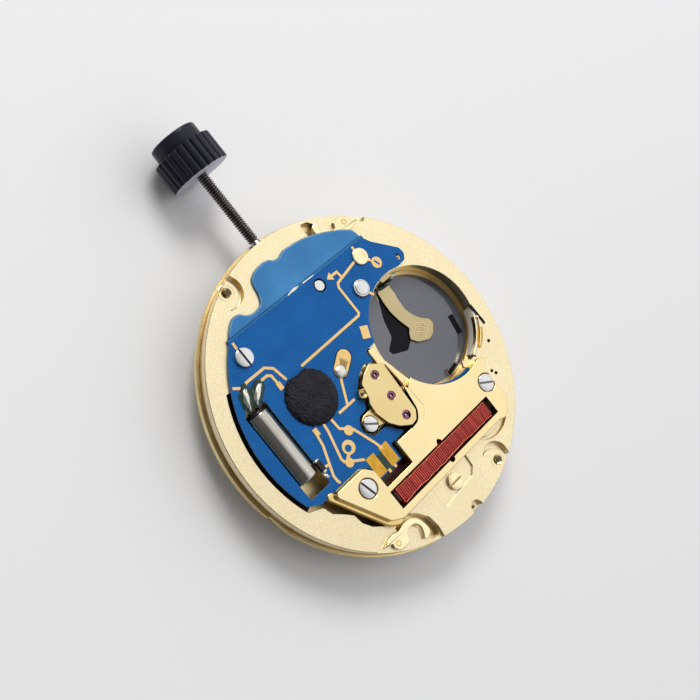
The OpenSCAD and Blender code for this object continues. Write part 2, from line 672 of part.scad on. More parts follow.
module bridge_jewels() {
    color(ruby) {
        for (p = [rotor_at, inter_at, [0, 0]])
            jewel(p, jewel_d / 2, bridge_top - jewel_bridge_t, jewel_bridge_t - 0.03);
        jewel(third_at, 0.22, bridge_top - jewel_bridge_t, jewel_bridge_t - 0.03);
    }
}

module plate_jewels() {
    color(ruby) for (p = [rotor_at, inter_at, third_at]) jewel(p, plate_jewel_r, motion_top, web_t);
}

// Outline of the circuit board
board_outline = round_path(concat(
    [[8.45, 7.45, 0]],
    sharp(arc_path([0, 0], 11.2, 42.5, 109.5, 20)),
    [[-4.3, 9.6, 0.3], [-4.28, 8.3, 0], [-4.28, 5.55, 0.3], [-4.85, 4.87, 0.3], [-5.95, 4.87, 0.05],
    [-5.95, 2.3, 0.05], [-4.62, 2.3, 0.1], [-4.62, 0.55, 0.2], [-4.15, 1.1, 0.3], [-3.4, 1.72, 0.2],
    [-3.35, 3.0, 0.5], [-2.5, 3.55, 0.6], [-1.6, 3.0, 0.5], [-1.5, 2.05, 0.2], [-0.85, 1.75, 0.1],
    [-0.45, 2.1, 0.3], [0.05, 1.6, 0.2], [0.7, 0.8, 0.3], [1.05, -0.1, 0.3], [0.75, -0.92, 0.1],
    [1.7, -0.92, 0.1], [1.72, -1.75, 0]],
    sharp(arc_path(well_at, well_r + 0.12, 72, -16, 16)),
    [[5.05, -8.85, 0.3], [5.5, -9.2, 0.4], [6.05, -9.12, 0.3], [7.8, -7.35, 0.3], [8.45, -6.95, 0]]));

module circuit_board() {
    color(circuit_blue) translate([0, 0, board_z]) difference() {
        linear_extrude(board_t) difference() {
            polygon(board_outline);
            polygon(round_path([[-3.6, 8.05, 0.1], [3.6, 8.05, 0.1], [4.1, 8.4, 0.1], [4.1, 9.7, 0.1],
                [3.6, 10.05, 0.1], [-3.6, 10.05, 0.1]]));
        }
        for (p = board_screws) translate([p.x, p.y, -eps]) cylinder(d = screw_thread_d + 2 * run, h = 1);
        translate([lever_pin_at.x, lever_pin_at.y, -eps]) cylinder(r = 0.5, h = 1);
        translate([stud_at.x, stud_at.y, -eps]) cylinder(r = 0.3 + run, h = 1);
        translate([5.55, -8.55, -eps]) linear_extrude(1) strip_2d([-0.12, 0], [0.12, 0], 0.3);
    }
}

module printed_tracks() {
    color(bright_gold) translate([0, 0, board_top]) difference() {
        linear_extrude(track_t) {
            track_2d([[5.85, 9.4], [5.35, 8.7], [5.55, 8.3], [5.55, 6.5], [5.1, 5.95], [3.9, 5.7]]);
            track_2d([[5.0, 7.4], [5.0, 6.7], [4.8, 6.45], [3.7, 6.4]]);
            track_2d([[-4.1, 7.45], [-3.9, 7.55], [-3.4, 7.55], [-1.3, 6.7], [-0.1, 6.5]]);
            track_2d([[-2.6, 7.25], [-2.5, 7.75]]);
            track_2d([[-4.1, 4.8], [-3.5, 5.75], [-3.2, 6.2], [-2.9, 6.25], [-0.9, 5.7], [-0.2, 5.6]]);
            track_2d([[-4.4, 3.1], [-3.7, 3.3], [-1.9, 4.0], [-1.2, 4.85], [-0.3, 4.9]]);
            track_2d([[-0.38, 4.1], [-0.38, 2.35]]);
            track_2d([[-0.3, 3.1], [1.2, 2.3], [1.85, 1.9]]);
            track_2d([[3.95, 4.1], [4.05, -2.3], [4.2, -2.5], [6.6, -2.5], [6.9, -2.7], [7.0, -3.2],
                [7.35, -5.0]]);
            track_2d([[6.95, -3.3], [7.6, -3.2], [7.6, -2.6]]);
            polygon([[7.25, -2.65], [7.95, -2.65], [7.6, -2.1]]);
            track_2d([[7.75, 7.25], [8.3, 7.2]]);
            track_2d([[4.85, -4.35], [4.5, -4.6]]);
            track_2d([[8.0, -5.7], [8.36, -5.65]]);
            translate([-3.5, 5.9]) circle(0.36);
            translate([-1.75, 4.35]) circle(0.38);
            translate([6.25, -6.6]) circle(0.46);
            track_2d([[6.5, -6.4], [7.1, -5.95]]);
            translate([-2.65, 5.2]) circle(0.55);
            strip_2d([1.87, 1.75], [2.45, 0.85], 1.16);
            translate([3.55, 6.2]) square([0.6, 0.4]);
            translate([-0.6, 6.25]) square([0.6, 0.4]);
            translate([2.8, -1.9]) rotate(-25) square([1.0, 0.7], center = true);
            translate([-5.85, 3.92]) square([1.7, 0.88]);
            translate([-5.85, 2.5]) square([1.7, 0.88]);
        }
        // Room for what stands on the board
        translate([dome_at.x, dome_at.y, -eps]) cylinder(d = dome_d + 2 * eps, h = 1);
        for (p = board_screws) translate([p.x, p.y, -eps]) cylinder(r = screw_d / 2 + run, h = 1);
        translate([stud_at.x, stud_at.y, -eps]) cylinder(r = stud_r + run, h = 1);
        translate([chip_at.x - run, chip_at.y - run, -eps]) cube([chip_size.x + 2 * run,
            chip_size.y + 2 * run, 1]);
    }
}

stud_r = 0.68;
chip_at = [-2.6, 7.72];
chip_size = [0.75, 0.42, 0.3];

// Thin blue film over the winding work
film_outline = round_path([[8.52, 7.35, 0.05], [9.2, 6.75, 0.3], [9.72, 6.0, 0.4], [9.72, 5.35, 0.3],
    [9.25, 4.85, 0.3], [9.1, 4.3, 0.3], [9.4, 3.5, 0.4], [10.0, 3.05, 0.3], [10.8, 2.9, 0.4],
    [11.2, 2.3, 0.4], [11.35, 1.0, 1], [11.18, 0, 1], [11.35, -1.5, 1], [11.3, -3.0, 1],
    [10.9, -4.5, 1], [10.3, -6.0, 1], [9.75, -6.9, 0.4], [9.1, -7.1, 0.3], [8.52, -6.95, 0.1]], 3);

module cover_film() {
    color(film_blue) translate([0, 0, plate_h]) linear_extrude(board_rise - 0.04) polygon(film_outline);
}

// Black dome cast over the chip
module chip_dome() {
    r = dome_d / 2;
    color(jet) translate([dome_at.x, dome_at.y, board_top]) rotate_extrude($fn = 72)
        polygon(concat([[0, 0]], [for (a = [0 : 15 : 90]) [r * pow(cos(a), 0.45), dome_h * sin(a)]]));
}

module crystal_can() {
    r = crystal_d / 2;
    color(steel) translate([crystal_x0, crystal_y, crystal_axis_z]) rotate([0, 90, 0])
        rotate_extrude() polygon([[0, 0], [r - 0.15, 0], [r, 0.15], [r, crystal_len - 0.05],
            [r - 0.05, crystal_len], [0, crystal_len]]);
}

module crystal_seal() {
    color(jet) translate([crystal_x0 + crystal_len, crystal_y, crystal_axis_z]) rotate([0, 90, 0])
        difference() {
            cylinder(r = crystal_d / 2 - 0.2, h = 0.25);
            for (y = [-1, 1]) translate([0, y * lead_half, -eps]) cylinder(r = lead_r, h = 1);
        }
}

lead_half = 0.35;
lead_r = 0.11;

// Tube along a row of points, with a ring of corners at each
module tube(p, r, sides = 8) {
    n = len(p);
    pts = [for (k = [0 : n - 1])
        let (t0 = p[k] - p[max(k - 1, 0)], t1 = p[min(k + 1, n - 1)] - p[k],
            u0 = norm(t0) > 0 ? t0 / norm(t0) : [0, 0, 0], u1 = norm(t1) > 0 ? t1 / norm(t1) : [0, 0, 0],
            t = (u0 + u1) / norm(u0 + u1),
            s0 = cross(t, abs(t.z) > 0.7 ? [0, 1, 0] : [0, 0, 1]), s = s0 / norm(s0), u = cross(s, t))
        for (j = [0 : sides - 1]) let (q = 360 * j / sides)
            p[k] + r * (cos(q) * s + sin(q) * u)];
    side = [for (k = [0 : n - 2], j = [0 : sides - 1])
        let (a = k * sides + j, b = k * sides + (j + 1) % sides)
        each [[a, b, b + sides], [a, b + sides, a + sides]]];
    last = (n - 1) * sides;
    ends = [for (j = [1 : sides - 2]) each [[0, j + 1, j], [last, last + j, last + j + 1]]];
    polyhedron(pts, concat(side, ends));
}

// Two bent leads from the crystal to their pads
module crystal_leads() {
    x0 = crystal_x0 + crystal_len;
    z = crystal_axis_z;
    top = board_top + lead_r + track_t + eps;
    color(steel) {
        for (s = [1, -1]) {
            y = crystal_y + s * lead_half;
            y1 = s > 0 ? 8.72 : 7.55;
            x1 = s > 0 ? 5.25 : 4.85;
            tube([[x0, y, z], [x0 + 0.27, y, z], [x0 + 0.4, y, z + 0.12], [x0 + 0.46, y, top - 0.15],
                [x0 + 0.62, y - 0.03, top], [x1, y1, top]], lead_r);
        }
    }
}

module chip_capacitor() {
    color(jet) translate([chip_at.x, chip_at.y, board_top]) cube(chip_size);
}

// Rivet that joins the contact spring to the board
module contact_stud() {
    color(bright_gold) translate([stud_at.x, stud_at.y, board_z]) {
        cylinder(r = 0.3, h = board_t + eps);
        translate([0, 0, board_t]) rotate_extrude()
            polygon([[0, 0], [stud_r, 0], [stud_r, 0.1], [stud_r - 0.08, 0.16], [0, 0.16]]);
    }
}

// Flat core through the coil, with an eye at each end
module coil_core() {
    low = coil_y - coil_len / 2 - 0.3;
    high = coil_y + coil_len / 2 + 0.12;
    left = coil_x - core_w / 2;
    right = coil_x + core_w / 2;
    color(iron) translate([0, 0, core_z]) difference() {
        linear_extrude(iron_t) polygon(round_path([[left - 0.15, -7.2, 0.3], [-7.1, -8.1, 0.4],
            [-5.5, -8.1, 0.3], [-5.5, -7.0, 0.3], [-5.75, low, 0.3], [right, low, 0.05],
            [right, high, 0.05], [right + 0.4, high, 0.1], [-5.0, 5.35, 0.3], [-5.0, 6.95, 0.4],
            [-6.4, 6.95, 0.4], [left - 0.15, 5.65, 0.3], [left - 0.15, high, 0.1], [left, high, 0.05],
            [left, low, 0.05], [left - 0.15, low, 0.1]]));
        for (p = coil_screws) translate([p.x, p.y, -eps]) cylinder(r = post_outer_r + run, h = 1);
    }
}

// Inner layers of the winding
module coil_layers() {
    w = coil_w - 2 * wire_d - 0.01;
    h = coil_h - 2 * wire_d - 0.01;
    color(copper_red) translate([coil_x, coil_y + coil_len / 2, coil_z]) rotate([90, 0, 0]) difference() {
        linear_extrude(coil_len) polygon(round_path([[-w / 2, -h / 2, 0.25], [w / 2, -h / 2, 0.25],
            [w / 2, h / 2, 0.25], [-w / 2, h / 2, 0.25]]));
        translate([-core_w / 2 - run, core_z - coil_z - run, -eps])
            cube([core_w + 2 * run, iron_t + 2 * run, coil_len + 2 * eps]);
    }
}

// Point on a rounded rectangle at a share of its way round
function oblong(w, h, c, t) =
    let (sx = w / 2 - c, sy = h / 2 - c, a = 360 * t, q = floor(t * 4),
        corner = [[sx, sy], [-sx, sy], [-sx, -sy], [sx, -sy]][q % 4])
    corner + c * [cos(a), sin(a)];

wire_rings = 24;
wire_sides = 6;
wire_pitch = (coil_len - wire_d) / coil_turns;

// Centre line of the outer layer, one unbroken helix of rounded turns
function wire_point(k) =
    let (t = k / wire_rings, u = t - floor(t),
        p = oblong(coil_w - wire_d, coil_h - wire_d, 0.25 + wire_d / 2, u))
    [p.x, wire_pitch * t, p.y];

wire_path = [for (k = [0 : coil_turns * wire_rings]) wire_point(k)];
wire_gap = min([for (k = [0 : wire_rings])
    norm(wire_path[k] - wire_path[k + wire_rings])]) - wire_d;
echo("least gap between the turns of the coil", wire_gap);

module coil_winding() {
    n = len(wire_path);
    pts = [for (k = [0 : n - 1])
        let (a = wire_path[max(k - 1, 0)], b = wire_path[min(k + 1, n - 1)],
            t = (b - a) / norm(b - a),
            s0 = cross(t, [0, 1, 0]), s = s0 / norm(s0), u = cross(s, t))
        for (j = [0 : wire_sides - 1]) let (q = 360 * j / wire_sides)
            wire_path[k] + wire_d / 2 * (cos(q) * s + sin(q) * u)];
    sides = [for (k = [0 : n - 2], j = [0 : wire_sides - 1])
        let (a = k * wire_sides + j, b = k * wire_sides + (j + 1) % wire_sides)
        each [[a, a + wire_sides, b + wire_sides], [a, b + wire_sides, b]]];
    last = (n - 1) * wire_sides;
    ends = [for (j = [1 : wire_sides - 2]) each [[0, j, j + 1], [last, last + j + 1, last + j]]];
    color(copper_red) translate([coil_x, coil_y - coil_len / 2 + wire_d / 2, coil_z])
        polyhedron(concat(pts), concat(sides, ends));
}

// Soft iron stator that leads the field to the rotor, raised where the core lies on it
module stator() {
    bore = magnet_d / 2 + 0.15;
    color(iron) difference() {
        union() {
            translate([0, 0, stator_z]) linear_extrude(iron_t) difference() {
                polygon(round_path([[-6.6, 7.0, 0.4], [-5.0, 7.0, 0.4], [-4.95, 5.4, 0.3], [-5.1, 1.6, 0.5],
                    [-3.4, 1.05, 0.4], [-2.75, 0.3, 0.3], [-2.75, -0.6, 0.3], [-3.4, -1.1, 0.4],
                    [-5.1, -1.7, 0.5], [-5.45, -5.3, 0.4], [-5.5, -8.1, 0.3], [-6.8, -8.1, 0.3],
                    [-6.5, -5.0, 0.4], [-6.45, 5.0, 0.4]]));
                translate(rotor_at) circle(bore);
                translate(rotor_at) rotate(35) for (s = [-1, 1]) translate([s * bore, 0]) circle(0.12);
                translate([-6.7, -0.12]) square([2.2, 0.24]);
            }
            for (i = [0, 1]) translate([0, 0, stator_z + iron_t - eps])
                linear_extrude(core_z - stator_z - iron_t + eps) translate(coil_screws[i])
                    intersection() {
                        circle(0.78);
                        translate([-0.55, i == 0 ? -1 : -0.65]) square([1.3, 2]);
                    }
        }
        for (p = coil_screws) translate([p.x, p.y, 0]) cylinder(r = post_outer_r + run, h = 3);
    }
}

rotor_m = 2 * (rotor_dist - inter_dist) / (rotor_z + inter_z);
inter_m = 2 * inter_dist / (inter_pinion_z + seconds_z);
seconds_m = 2 * third_dist / (seconds_pinion_z + third_z);
third_m = 2 * third_dist / (third_pinion_z + centre_z);
arbor_top = bridge_top - 0.08;
arbor_bottom = motion_top + 0.04;
arbor_r = 0.1;

// Arbor with a pivot at each end
module arbor(p, z0, z1) {
    translate([p.x, p.y, arbor_bottom]) cylinder(d = pivot_d, h = arbor_top - arbor_bottom, $fn = 24);
    translate([p.x, p.y, z0]) cylinder(r = arbor_r, h = z1 - z0, $fn = 24);
}

shoulder_top = bridge_top - jewel_bridge_t - 0.03;
shoulder_bottom = floor_z + 0.03;

module rotor_magnet() {
    color(steel) translate([rotor_at.x, rotor_at.y, stator_z + iron_t / 2 - magnet_h / 2])
        ring(magnet_d / 2, arbor_r, magnet_h);
}

module rotor_arbor() {
    phase = 0;
    color(steel) {
        arbor(rotor_at, shoulder_bottom, shoulder_top);
        translate([rotor_at.x, rotor_at.y, inter_level - 0.05]) linear_extrude(wheel_t + 0.1)
            gear_2d(rotor_z, rotor_m, phase);
    }
}

module intermediate_wheel() {
    color(brass) {
        arbor(inter_at, shoulder_bottom, shoulder_top);
        translate([inter_at.x, inter_at.y, inter_level])
            wheel(inter_z, rotor_m, wheel_t, mesh_phase(0, rotor_z, inter_z, 0), 0.3);
        translate([inter_at.x, inter_at.y, inter_level + wheel_t - eps])
            linear_extrude(seconds_level - inter_level + 0.04) gear_2d(inter_pinion_z, inter_m, 0);
    }
}

module seconds_wheel() {
    third_line = line_angle([0, 0], third_at);
    color(brass) {
        translate([0, 0, -seconds_reach])
            cylinder(d = seconds_post_d, h = third_level - 0.02 + seconds_reach, $fn = 24);
        translate([0, 0, third_level - 0.1])
            cylinder(d = pivot_d, h = arbor_top - third_level + 0.1, $fn = 24);
        translate([0, 0, third_level - 0.05]) cylinder(r = arbor_r, h = shoulder_top - third_level + 0.05,
            $fn = 24);
        translate([0, 0, seconds_level])
            wheel(seconds_z, inter_m, wheel_t, mesh_phase(0, inter_pinion_z, seconds_z, 0), 0.3);
        translate([0, 0, third_level - 0.06]) linear_extrude(wheel_t + 0.12)
            gear_2d(seconds_pinion_z, seconds_m, third_line);
    }
}

minute_reach = hour_reach + post_step;
seconds_reach = minute_reach + post_step;

module third_wheel() {
    back = line_angle(third_at, [0, 0]);
    color(brass) {
        arbor(third_at, shoulder_bottom, shoulder_top - 0.1);
        translate([third_at.x, third_at.y, third_level]) wheel(third_z, seconds_m, wheel_t,
            mesh_phase(back + 180, seconds_pinion_z, third_z, back + 180), 0.3);
        translate([third_at.x, third_at.y, centre_level - 0.04]) linear_extrude(wheel_t + 0.1)
            gear_2d(third_pinion_z, third_m, back);
    }
}

// Centre wheel on a long pipe that carries the cannon pinion by friction
module centre_wheel() {
    back = line_angle(third_at, [0, 0]);
    color(brass) difference() {
        union() {
            translate([0, 0, centre_level]) wheel(centre_z, third_m, wheel_t,
                mesh_phase(back, third_pinion_z, centre_z, back), 0.4);
            translate([0, 0, -minute_reach + 0.1]) cylinder(r = centre_pipe_r,
                h = centre_level + wheel_t + minute_reach - 0.1);
            translate([0, 0, floor_z + 0.03]) cylinder(r = 0.36, h = centre_level - floor_z);
        }
        translate([0, 0, -3]) cylinder(d = seconds_post_d + 2 * run, h = 6);
    }
}

module cannon_pinion() {
    line = line_angle([0, 0], minute_at);
    color(steel) difference() {
        union() {
            translate([0, 0, -minute_reach])
                cylinder(d = minute_post_d, h = motion_top + minute_reach - 0.03);
            translate([0, 0, minute_level - 0.04]) linear_extrude(wheel_t + 0.05)
                gear_2d(cannon_z, minute_m, line);
        }
        translate([0, 0, -3]) cylinder(r = centre_pipe_r + run, h = 6);
    }
}

module minute_wheel() {
    line = line_angle([0, 0], minute_at);
    color(brass) translate([minute_at.x, minute_at.y, 0]) difference() {
        union() {
            translate([0, 0, minute_level]) wheel(minute_z, minute_m, wheel_t,
                mesh_phase(line, cannon_z, minute_z, line), 0.4);
            translate([0, 0, hour_level - 0.01]) linear_extrude(minute_level - hour_level + 0.02)
                gear_2d(minute_pinion_z, hour_m, line + 180);
        }
        translate([0, 0, -1]) cylinder(r = post_r + run, h = 3);
    }
}

post_r = 0.13;

module hour_wheel() {
    color(brass) difference() {
        union() {
            translate([0, 0, hour_level]) linear_extrude(wheel_t)
                gear_2d(hour_z, hour_m, hour_phase);
            translate([0, 0, -hour_reach]) cylinder(d = hour_post_d, h = hour_level + hour_reach + wheel_t);
        }
        translate([0, 0, -3]) cylinder(d = minute_post_d + 2 * run, h = 6);
    }
}

hour_phase = mesh_phase(line_angle(minute_at, [0, 0]), minute_pinion_z, hour_z,
    line_angle(minute_at, [0, 0]));
idler_phase = mesh_phase(hour_phase, hour_z, idler_z, line_angle([0, 0], idler_at));
date_phase = mesh_phase(idler_phase, idler_z, date_z, line_angle(idler_at, date_at));
minute_phase = mesh_phase(line_angle([0, 0], minute_at), cannon_z, minute_z, line_angle([0, 0], minute_at));

module setting_wheel() {
    color(steel) translate([setting_at.x, setting_at.y, minute_level]) difference() {
        union() {
            linear_extrude(wheel_t) gear_2d(setting_z, minute_m,
                mesh_phase(minute_phase, minute_z, setting_z, line_angle(minute_at, setting_at)));
            translate([0, 0, hour_level - minute_level]) cylinder(r = 0.35, h = minute_level - hour_level);
        }
        translate([0, 0, -1]) cylinder(r = post_r + run, h = 3);
    }
}

module date_idler() {
    color(brass) translate([idler_at.x, idler_at.y, date_level]) difference() {
        wheel(idler_z, hour_m, wheel_t, idler_phase, 0.5);
        translate([0, 0, -1]) cylinder(r = post_r + run, h = 3);
    }
}

// Wheel that turns once a day, with the finger that moves the date on
module date_driving_wheel() {
    finger = date_angle + 180;
    color(brass) translate([date_at.x, date_at.y, 0]) difference() {
        union() {
            translate([0, 0, date_level]) wheel(date_z, hour_m, wheel_t, date_phase, 0.7, 5);
            translate([0, 0, date_level + wheel_t - eps]) cylinder(r = 0.6, h = 0.06 + eps);
            translate([0, 0, finger_level]) linear_extrude(0.05) rotate(finger)
                polygon(round_path([[0, -0.3, 0.1], [finger_r - 0.5, -0.22, 0.1], [finger_r, -0.1, 0.05],
                    [finger_r, 0.1, 0.05], [finger_r - 0.5, 0.12, 0.1], [0, 0.3, 0.1]]));
        }
        translate([0, 0, -1]) cylinder(r = 0.3 + run, h = 3);
    }
}

module date_ring() {
    tooth_h = 0.42;
    r = ring_bore_d / 2;
    pitch = 360 / ring_z;
    color([0.93, 0.93, 0.92]) translate([0, 0, ring_z0]) linear_extrude(ring_t) difference() {
        circle(ring_d / 2, $fn = 124);
        polygon([for (i = [0 : ring_z - 1], k = [[-0.32, 1], [-0.12, 0], [0.06, 0], [0.26, 1]])
            let (a = ring_phase + (i + k[0]) * pitch, rr = r + tooth_h * k[1]) rr * [cos(a), sin(a)]]);
    }
}

ring_phase = 0;
jumper_angle = (floor(50 * ring_z / 360) + 0.47) * 360 / ring_z;

// Leaf spring whose beak rests between two teeth of the date ring
module date_jumper() {
    r = ring_bore_d / 2;
    beak = [cos(jumper_angle), sin(jumper_angle)];
    side = [-sin(jumper_angle), cos(jumper_angle)];
    p1 = (r + 0.2) * beak;
    p2 = (r - 0.35) * beak - 0.25 * side;
    p3 = (r - 0.35) * beak + 0.3 * side;
    color(steel) translate([0, 0, ring_z0 + 0.01]) difference() {
        linear_extrude(ring_t - 0.03) {
            polygon([p1, (r - 0.2) * beak + 0.22 * side, p3, p2, (r - 0.2) * beak - 0.22 * side]);
            strip_2d((r - 0.42) * beak, jumper_at, 0.26);
            translate(jumper_at) circle(0.55);
        }
        translate([jumper_at.x, jumper_at.y, -1]) cylinder(r = 0.2 + run, h = 2);
    }
}

// Thin plate on the dial side that holds the date work down
module date_guard_plate() {
    color(gold) difference() {
        cylinder(r = guard_r, h = guard_t, $fn = 120);
        translate([0, 0, -eps]) cylinder(r = hour_m * (hour_z / 2 + 1) + 0.15, h = 1);
        for (p = dial_screws) translate([p.x, p.y, -eps]) cylinder(d = dial_thread_d + 2 * run, h = 1);
        for (p = [setting_at, date_at, idler_at]) translate([p.x, p.y, -eps]) cylinder(r = 0.3, h = 1);
    }
}

module winding_stem() {
    square_w = 0.36;
    color(steel) {
        x_rod(pilot_x0, 4.75, pilot_r);
        translate([4.6, -square_w / 2, stem_z - square_w / 2]) cube([2.3, square_w, square_w]);
        x_rod(6.72, groove_x - groove_w / 2, stem_body_d / 2);
        x_rod(groove_x - groove_w, groove_x + groove_w, 0.22);
        x_rod(groove_x + groove_w / 2, flange_r + 0.1, stem_body_d / 2);
        x_rod(flange_r + 0.07, stem_reach + crown_len - 0.4, stem_thread_d / 2);
    }
}

// Push-on crown with knurls and a smooth top
module crown() {
    r = crown_d / 2;
    pitch = 360 / crown_knurls;
    color(jet) translate([stem_reach, 0, stem_z]) rotate([0, 90, 0]) difference() {
        union() {
            linear_extrude(crown_len) polygon([for (i = [0 : crown_knurls - 1],
                k = [[-0.36, 0.17], [-0.2, 0], [0.2, 0], [0.36, 0.17]])
                let (a = (i + k[0]) * pitch) (r - k[1]) * [cos(a), sin(a)]]);
            translate([0, 0, crown_len - eps]) rotate_extrude()
                polygon([[0, 0], [crown_top_d / 2, 0], [crown_top_d / 2, crown_top_len - 0.15],
                    [crown_top_d / 2 - 0.15, crown_top_len], [0, crown_top_len]]);
        }
        translate([0, 0, -eps]) cylinder(d = stem_thread_d + 0.02, h = crown_len - 0.38);
        translate([0, 0, crown_len + crown_top_len - 0.25]) cylinder(r = crown_top_d / 2 - 0.5, h = 1);
    }
}

// Pinion that turns with the stem's square and slides on it
module sliding_pinion() {
    len_x = slider_x[1] - slider_x[0];
    r = slider_d / 2;
    color(steel) translate([slider_x[0], 0, stem_z]) rotate([0, 90, 0]) difference() {
        union() {
            linear_extrude(0.22) gear_2d(14, slider_d / 16);
            translate([0, 0, 0.2]) cylinder(r = r - 0.12, h = 0.35);
            translate([0, 0, 0.5]) cylinder(r = 0.34, h = 0.4);
            translate([0, 0, len_x - 0.38]) linear_extrude(0.38) gear_2d(14, slider_d / 16);
        }
        translate([-0.19 - run / 2, -0.19 - run / 2, -eps]) cube([0.38 + run, 0.38 + run, 3]);
    }
}

peg_low = stem_z + 0.25;
lever_z = stem_z + stem_body_d / 2 + 0.1;

module setting_lever() {
    color(steel) difference() {
        union() {
            translate([0, 0, lever_z]) linear_extrude(0.2) {
                polygon(round_path([[lever_pin_at.x - 0.6, lever_pin_at.y - 0.2, 0.3],
                    [groove_x - 0.22, 0.22, 0.2], [groove_x + 0.22, 0.22, 0.2],
                    [lever_pin_at.x + 0.6, lever_pin_at.y, 0.3], [lever_pin_at.x + 0.3, -1.95, 0.2],
                    [6.9, -2.3, 0.2], [6.4, -2.5, 0.15], [6.35, -2.1, 0.15]]));
            }
            translate([lever_pin_at.x, lever_pin_at.y, lever_z])
                cylinder(r = 0.42, h = board_top - lever_z - 0.04);
            translate([groove_x, 0, peg_low]) cylinder(r = 0.13, h = lever_z - peg_low + eps);
        }
        translate([lever_pin_at.x, lever_pin_at.y, lever_z - eps]) cylinder(r = 0.2 + run, h = 0.3);
    }
}

module yoke() {
    color(steel) difference() {
        union() {
            translate([0, 0, lever_z + 0.02]) linear_extrude(0.16) {
                polygon(round_path([[4.75, 2.3, 0.3], [5.5, 2.45, 0.3], [6.15, 0.2, 0.15],
                    [5.72, -0.25, 0.15], [5.5, 0.2, 0.2], [4.85, 1.5, 0.4]]));
            }
            translate([yoke_peg_x, 0, stem_z + 0.36]) cylinder(r = 0.12, h = lever_z - stem_z - 0.33);
        }
        translate([yoke_at.x, yoke_at.y, 0]) cylinder(r = 0.14 + run, h = 4);
    }
}

yoke_peg_x = slider_x[0] + 0.685;

// Leaf spring that clicks the setting lever into its two places
module lever_spring() {
    color(steel) translate([0, 0, lever_z + 0.25]) difference() {
        linear_extrude(0.12) polygon(round_path([[6.15, 2.4, 0.2], [8.4, 2.4, 0.2], [8.4, 1.75, 0.2],
            [6.7, 1.7, 0.2], [6.55, -1.9, 0.1], [6.25, -2.1, 0.1], [6.15, -1.8, 0.1]]));
        translate([spring_at.x, spring_at.y, -1]) cylinder(r = 0.14 + run, h = 3);
    }
}

module cell_foil() {
    color(slate) translate([well_at.x, well_at.y, well_z]) linear_extrude(foil_t) difference() {
        circle(well_r - 0.3, $fn = 96);
        translate(-well_at) polygon(round_path([[-0.35, -4.6, 0.2], [0.2, -3.55, 0.1], [0.75, -4.4, 0.2],
            [4.4, -5.75, 0.1], [4.1, -6.0, 0.2], [0.8, -5.85, 0.1], [0.45, -5.4, 0.3]]));
    }
}

// Spring that touches the cell's negative face, with an embossed diamond tip
module cell_contact() {
    z = well_z + foil_t + gap;
    wall_x = well_at.x + sqrt(pow(well_r - 0.06, 2) - 0.36);
    color(bright_gold) translate([0, 0, z]) {
        linear_extrude(spring_t) polygon(round_path([[wall_x - 0.1, -5.95, 0.05], [1.7, -6.0, 0.3],
            [0.5, -6.35, 0.3], [0.0, -5.85, 0.2], [-0.95, -6.95, 0.25], [0.15, -8.05, 0.2],
            [0.75, -7.4, 0.2], [1.9, -6.95, 0.3], [wall_x - 0.1, -7.15, 0.05]]));
        translate([wall_x - 0.2, -7.1, 0]) cube([0.12, 1.1, board_z - z - 0.02]);
        translate([0, 0, plate_h + gap / 5 - z]) linear_extrude(board_z - plate_h - 0.03)
            polygon(round_path([[wall_x - 0.2, -7.1, 0], [6.6, -6.35, 0.3], [7.6, -6.15, 0.3],
                [7.8, -5.4, 0.3], [6.9, -5.2, 0.3], [wall_x - 0.2, -6.0, 0]]));
    }
}

// Spring that presses on the cell's side, a leaf inside the well that is bent round to its foot
module cell_clamp() {
    leaf_r = well_r - 0.16;
    seat_r = well_r + 0.2;
    color(bright_gold) translate([0, 0, plate_h - 0.8]) {
        linear_extrude(0.9) {
            polygon(concat(arc_path(well_at, leaf_r + spring_t, 203, 243, 14),
                arc_path(well_at, leaf_r, 243, 203, 14)));
            polygon(concat(arc_path(well_at, seat_r + spring_t, 214, 243, 12),
                arc_path(well_at, seat_r, 243, 214, 12)));
            polygon(concat(arc_path(well_at, seat_r + spring_t, 241.6, 243, 2),
                arc_path(well_at, leaf_r, 243, 241.6, 2)));
        }
        linear_extrude(0.1) polygon(concat(arc_path(well_at, well_r + 0.65, 214, 240, 12),
            arc_path(well_at, seat_r, 240, 214, 12)));
    }
}

// Lever with a pointed head and a hook that grips a dial foot
hook_outline = round_path([[-9.66, 7.92, 0.08], [-9.48, 7.2, 0.3], [-9.45, 6.6, 0.3], [-9.62, 6.1, 0.3],
    [-9.38, 5.3, 0.5], [-9.6, 4.5, 0.4], [-10.4, 4.02, 0.6], [-11.3, 4.02, 0.3], [-11.55, 4.6, 0.1],
    [-11.32, 4.85, 0.05], [-11.05, 4.62, 0.2], [-10.5, 4.45, 0.3], [-10.05, 4.7, 0.3],
    [-9.95, 5.35, 0.3], [-10.3, 5.78, 0.3], [-10.75, 5.9, 0.15], [-10.72, 6.9, 0.3], [-10.2, 7.25, 0.3],
    [-9.95, 7.1, 0.1]]);

module dial_foot_lever() {
    color(gold) translate([0, 0, plate_h - lever_t]) difference() {
        linear_extrude(lever_t) polygon(hook_outline);
        translate([lever_a_at.x, lever_a_at.y, -1]) cylinder(d = lever_pivot_d + 2 * run, h = 3);
    }
}

module dial_foot_lever_a() {
    dial_foot_lever();
}

module dial_foot_lever_b() {
    rotate(180) dial_foot_lever();
}

module lever_pivots() {
    color(gold) for (turn = [0, 180]) rotate(turn) translate([lever_a_at.x, lever_a_at.y, 0]) {
        translate([0, 0, 0.6]) cylinder(d = lever_pivot_d - 0.18, h = plate_h - lever_t - 0.6);
        translate([0, 0, plate_h - lever_t - 0.02]) cylinder(d = lever_pivot_d, h = lever_t + 0.03);
    }
}

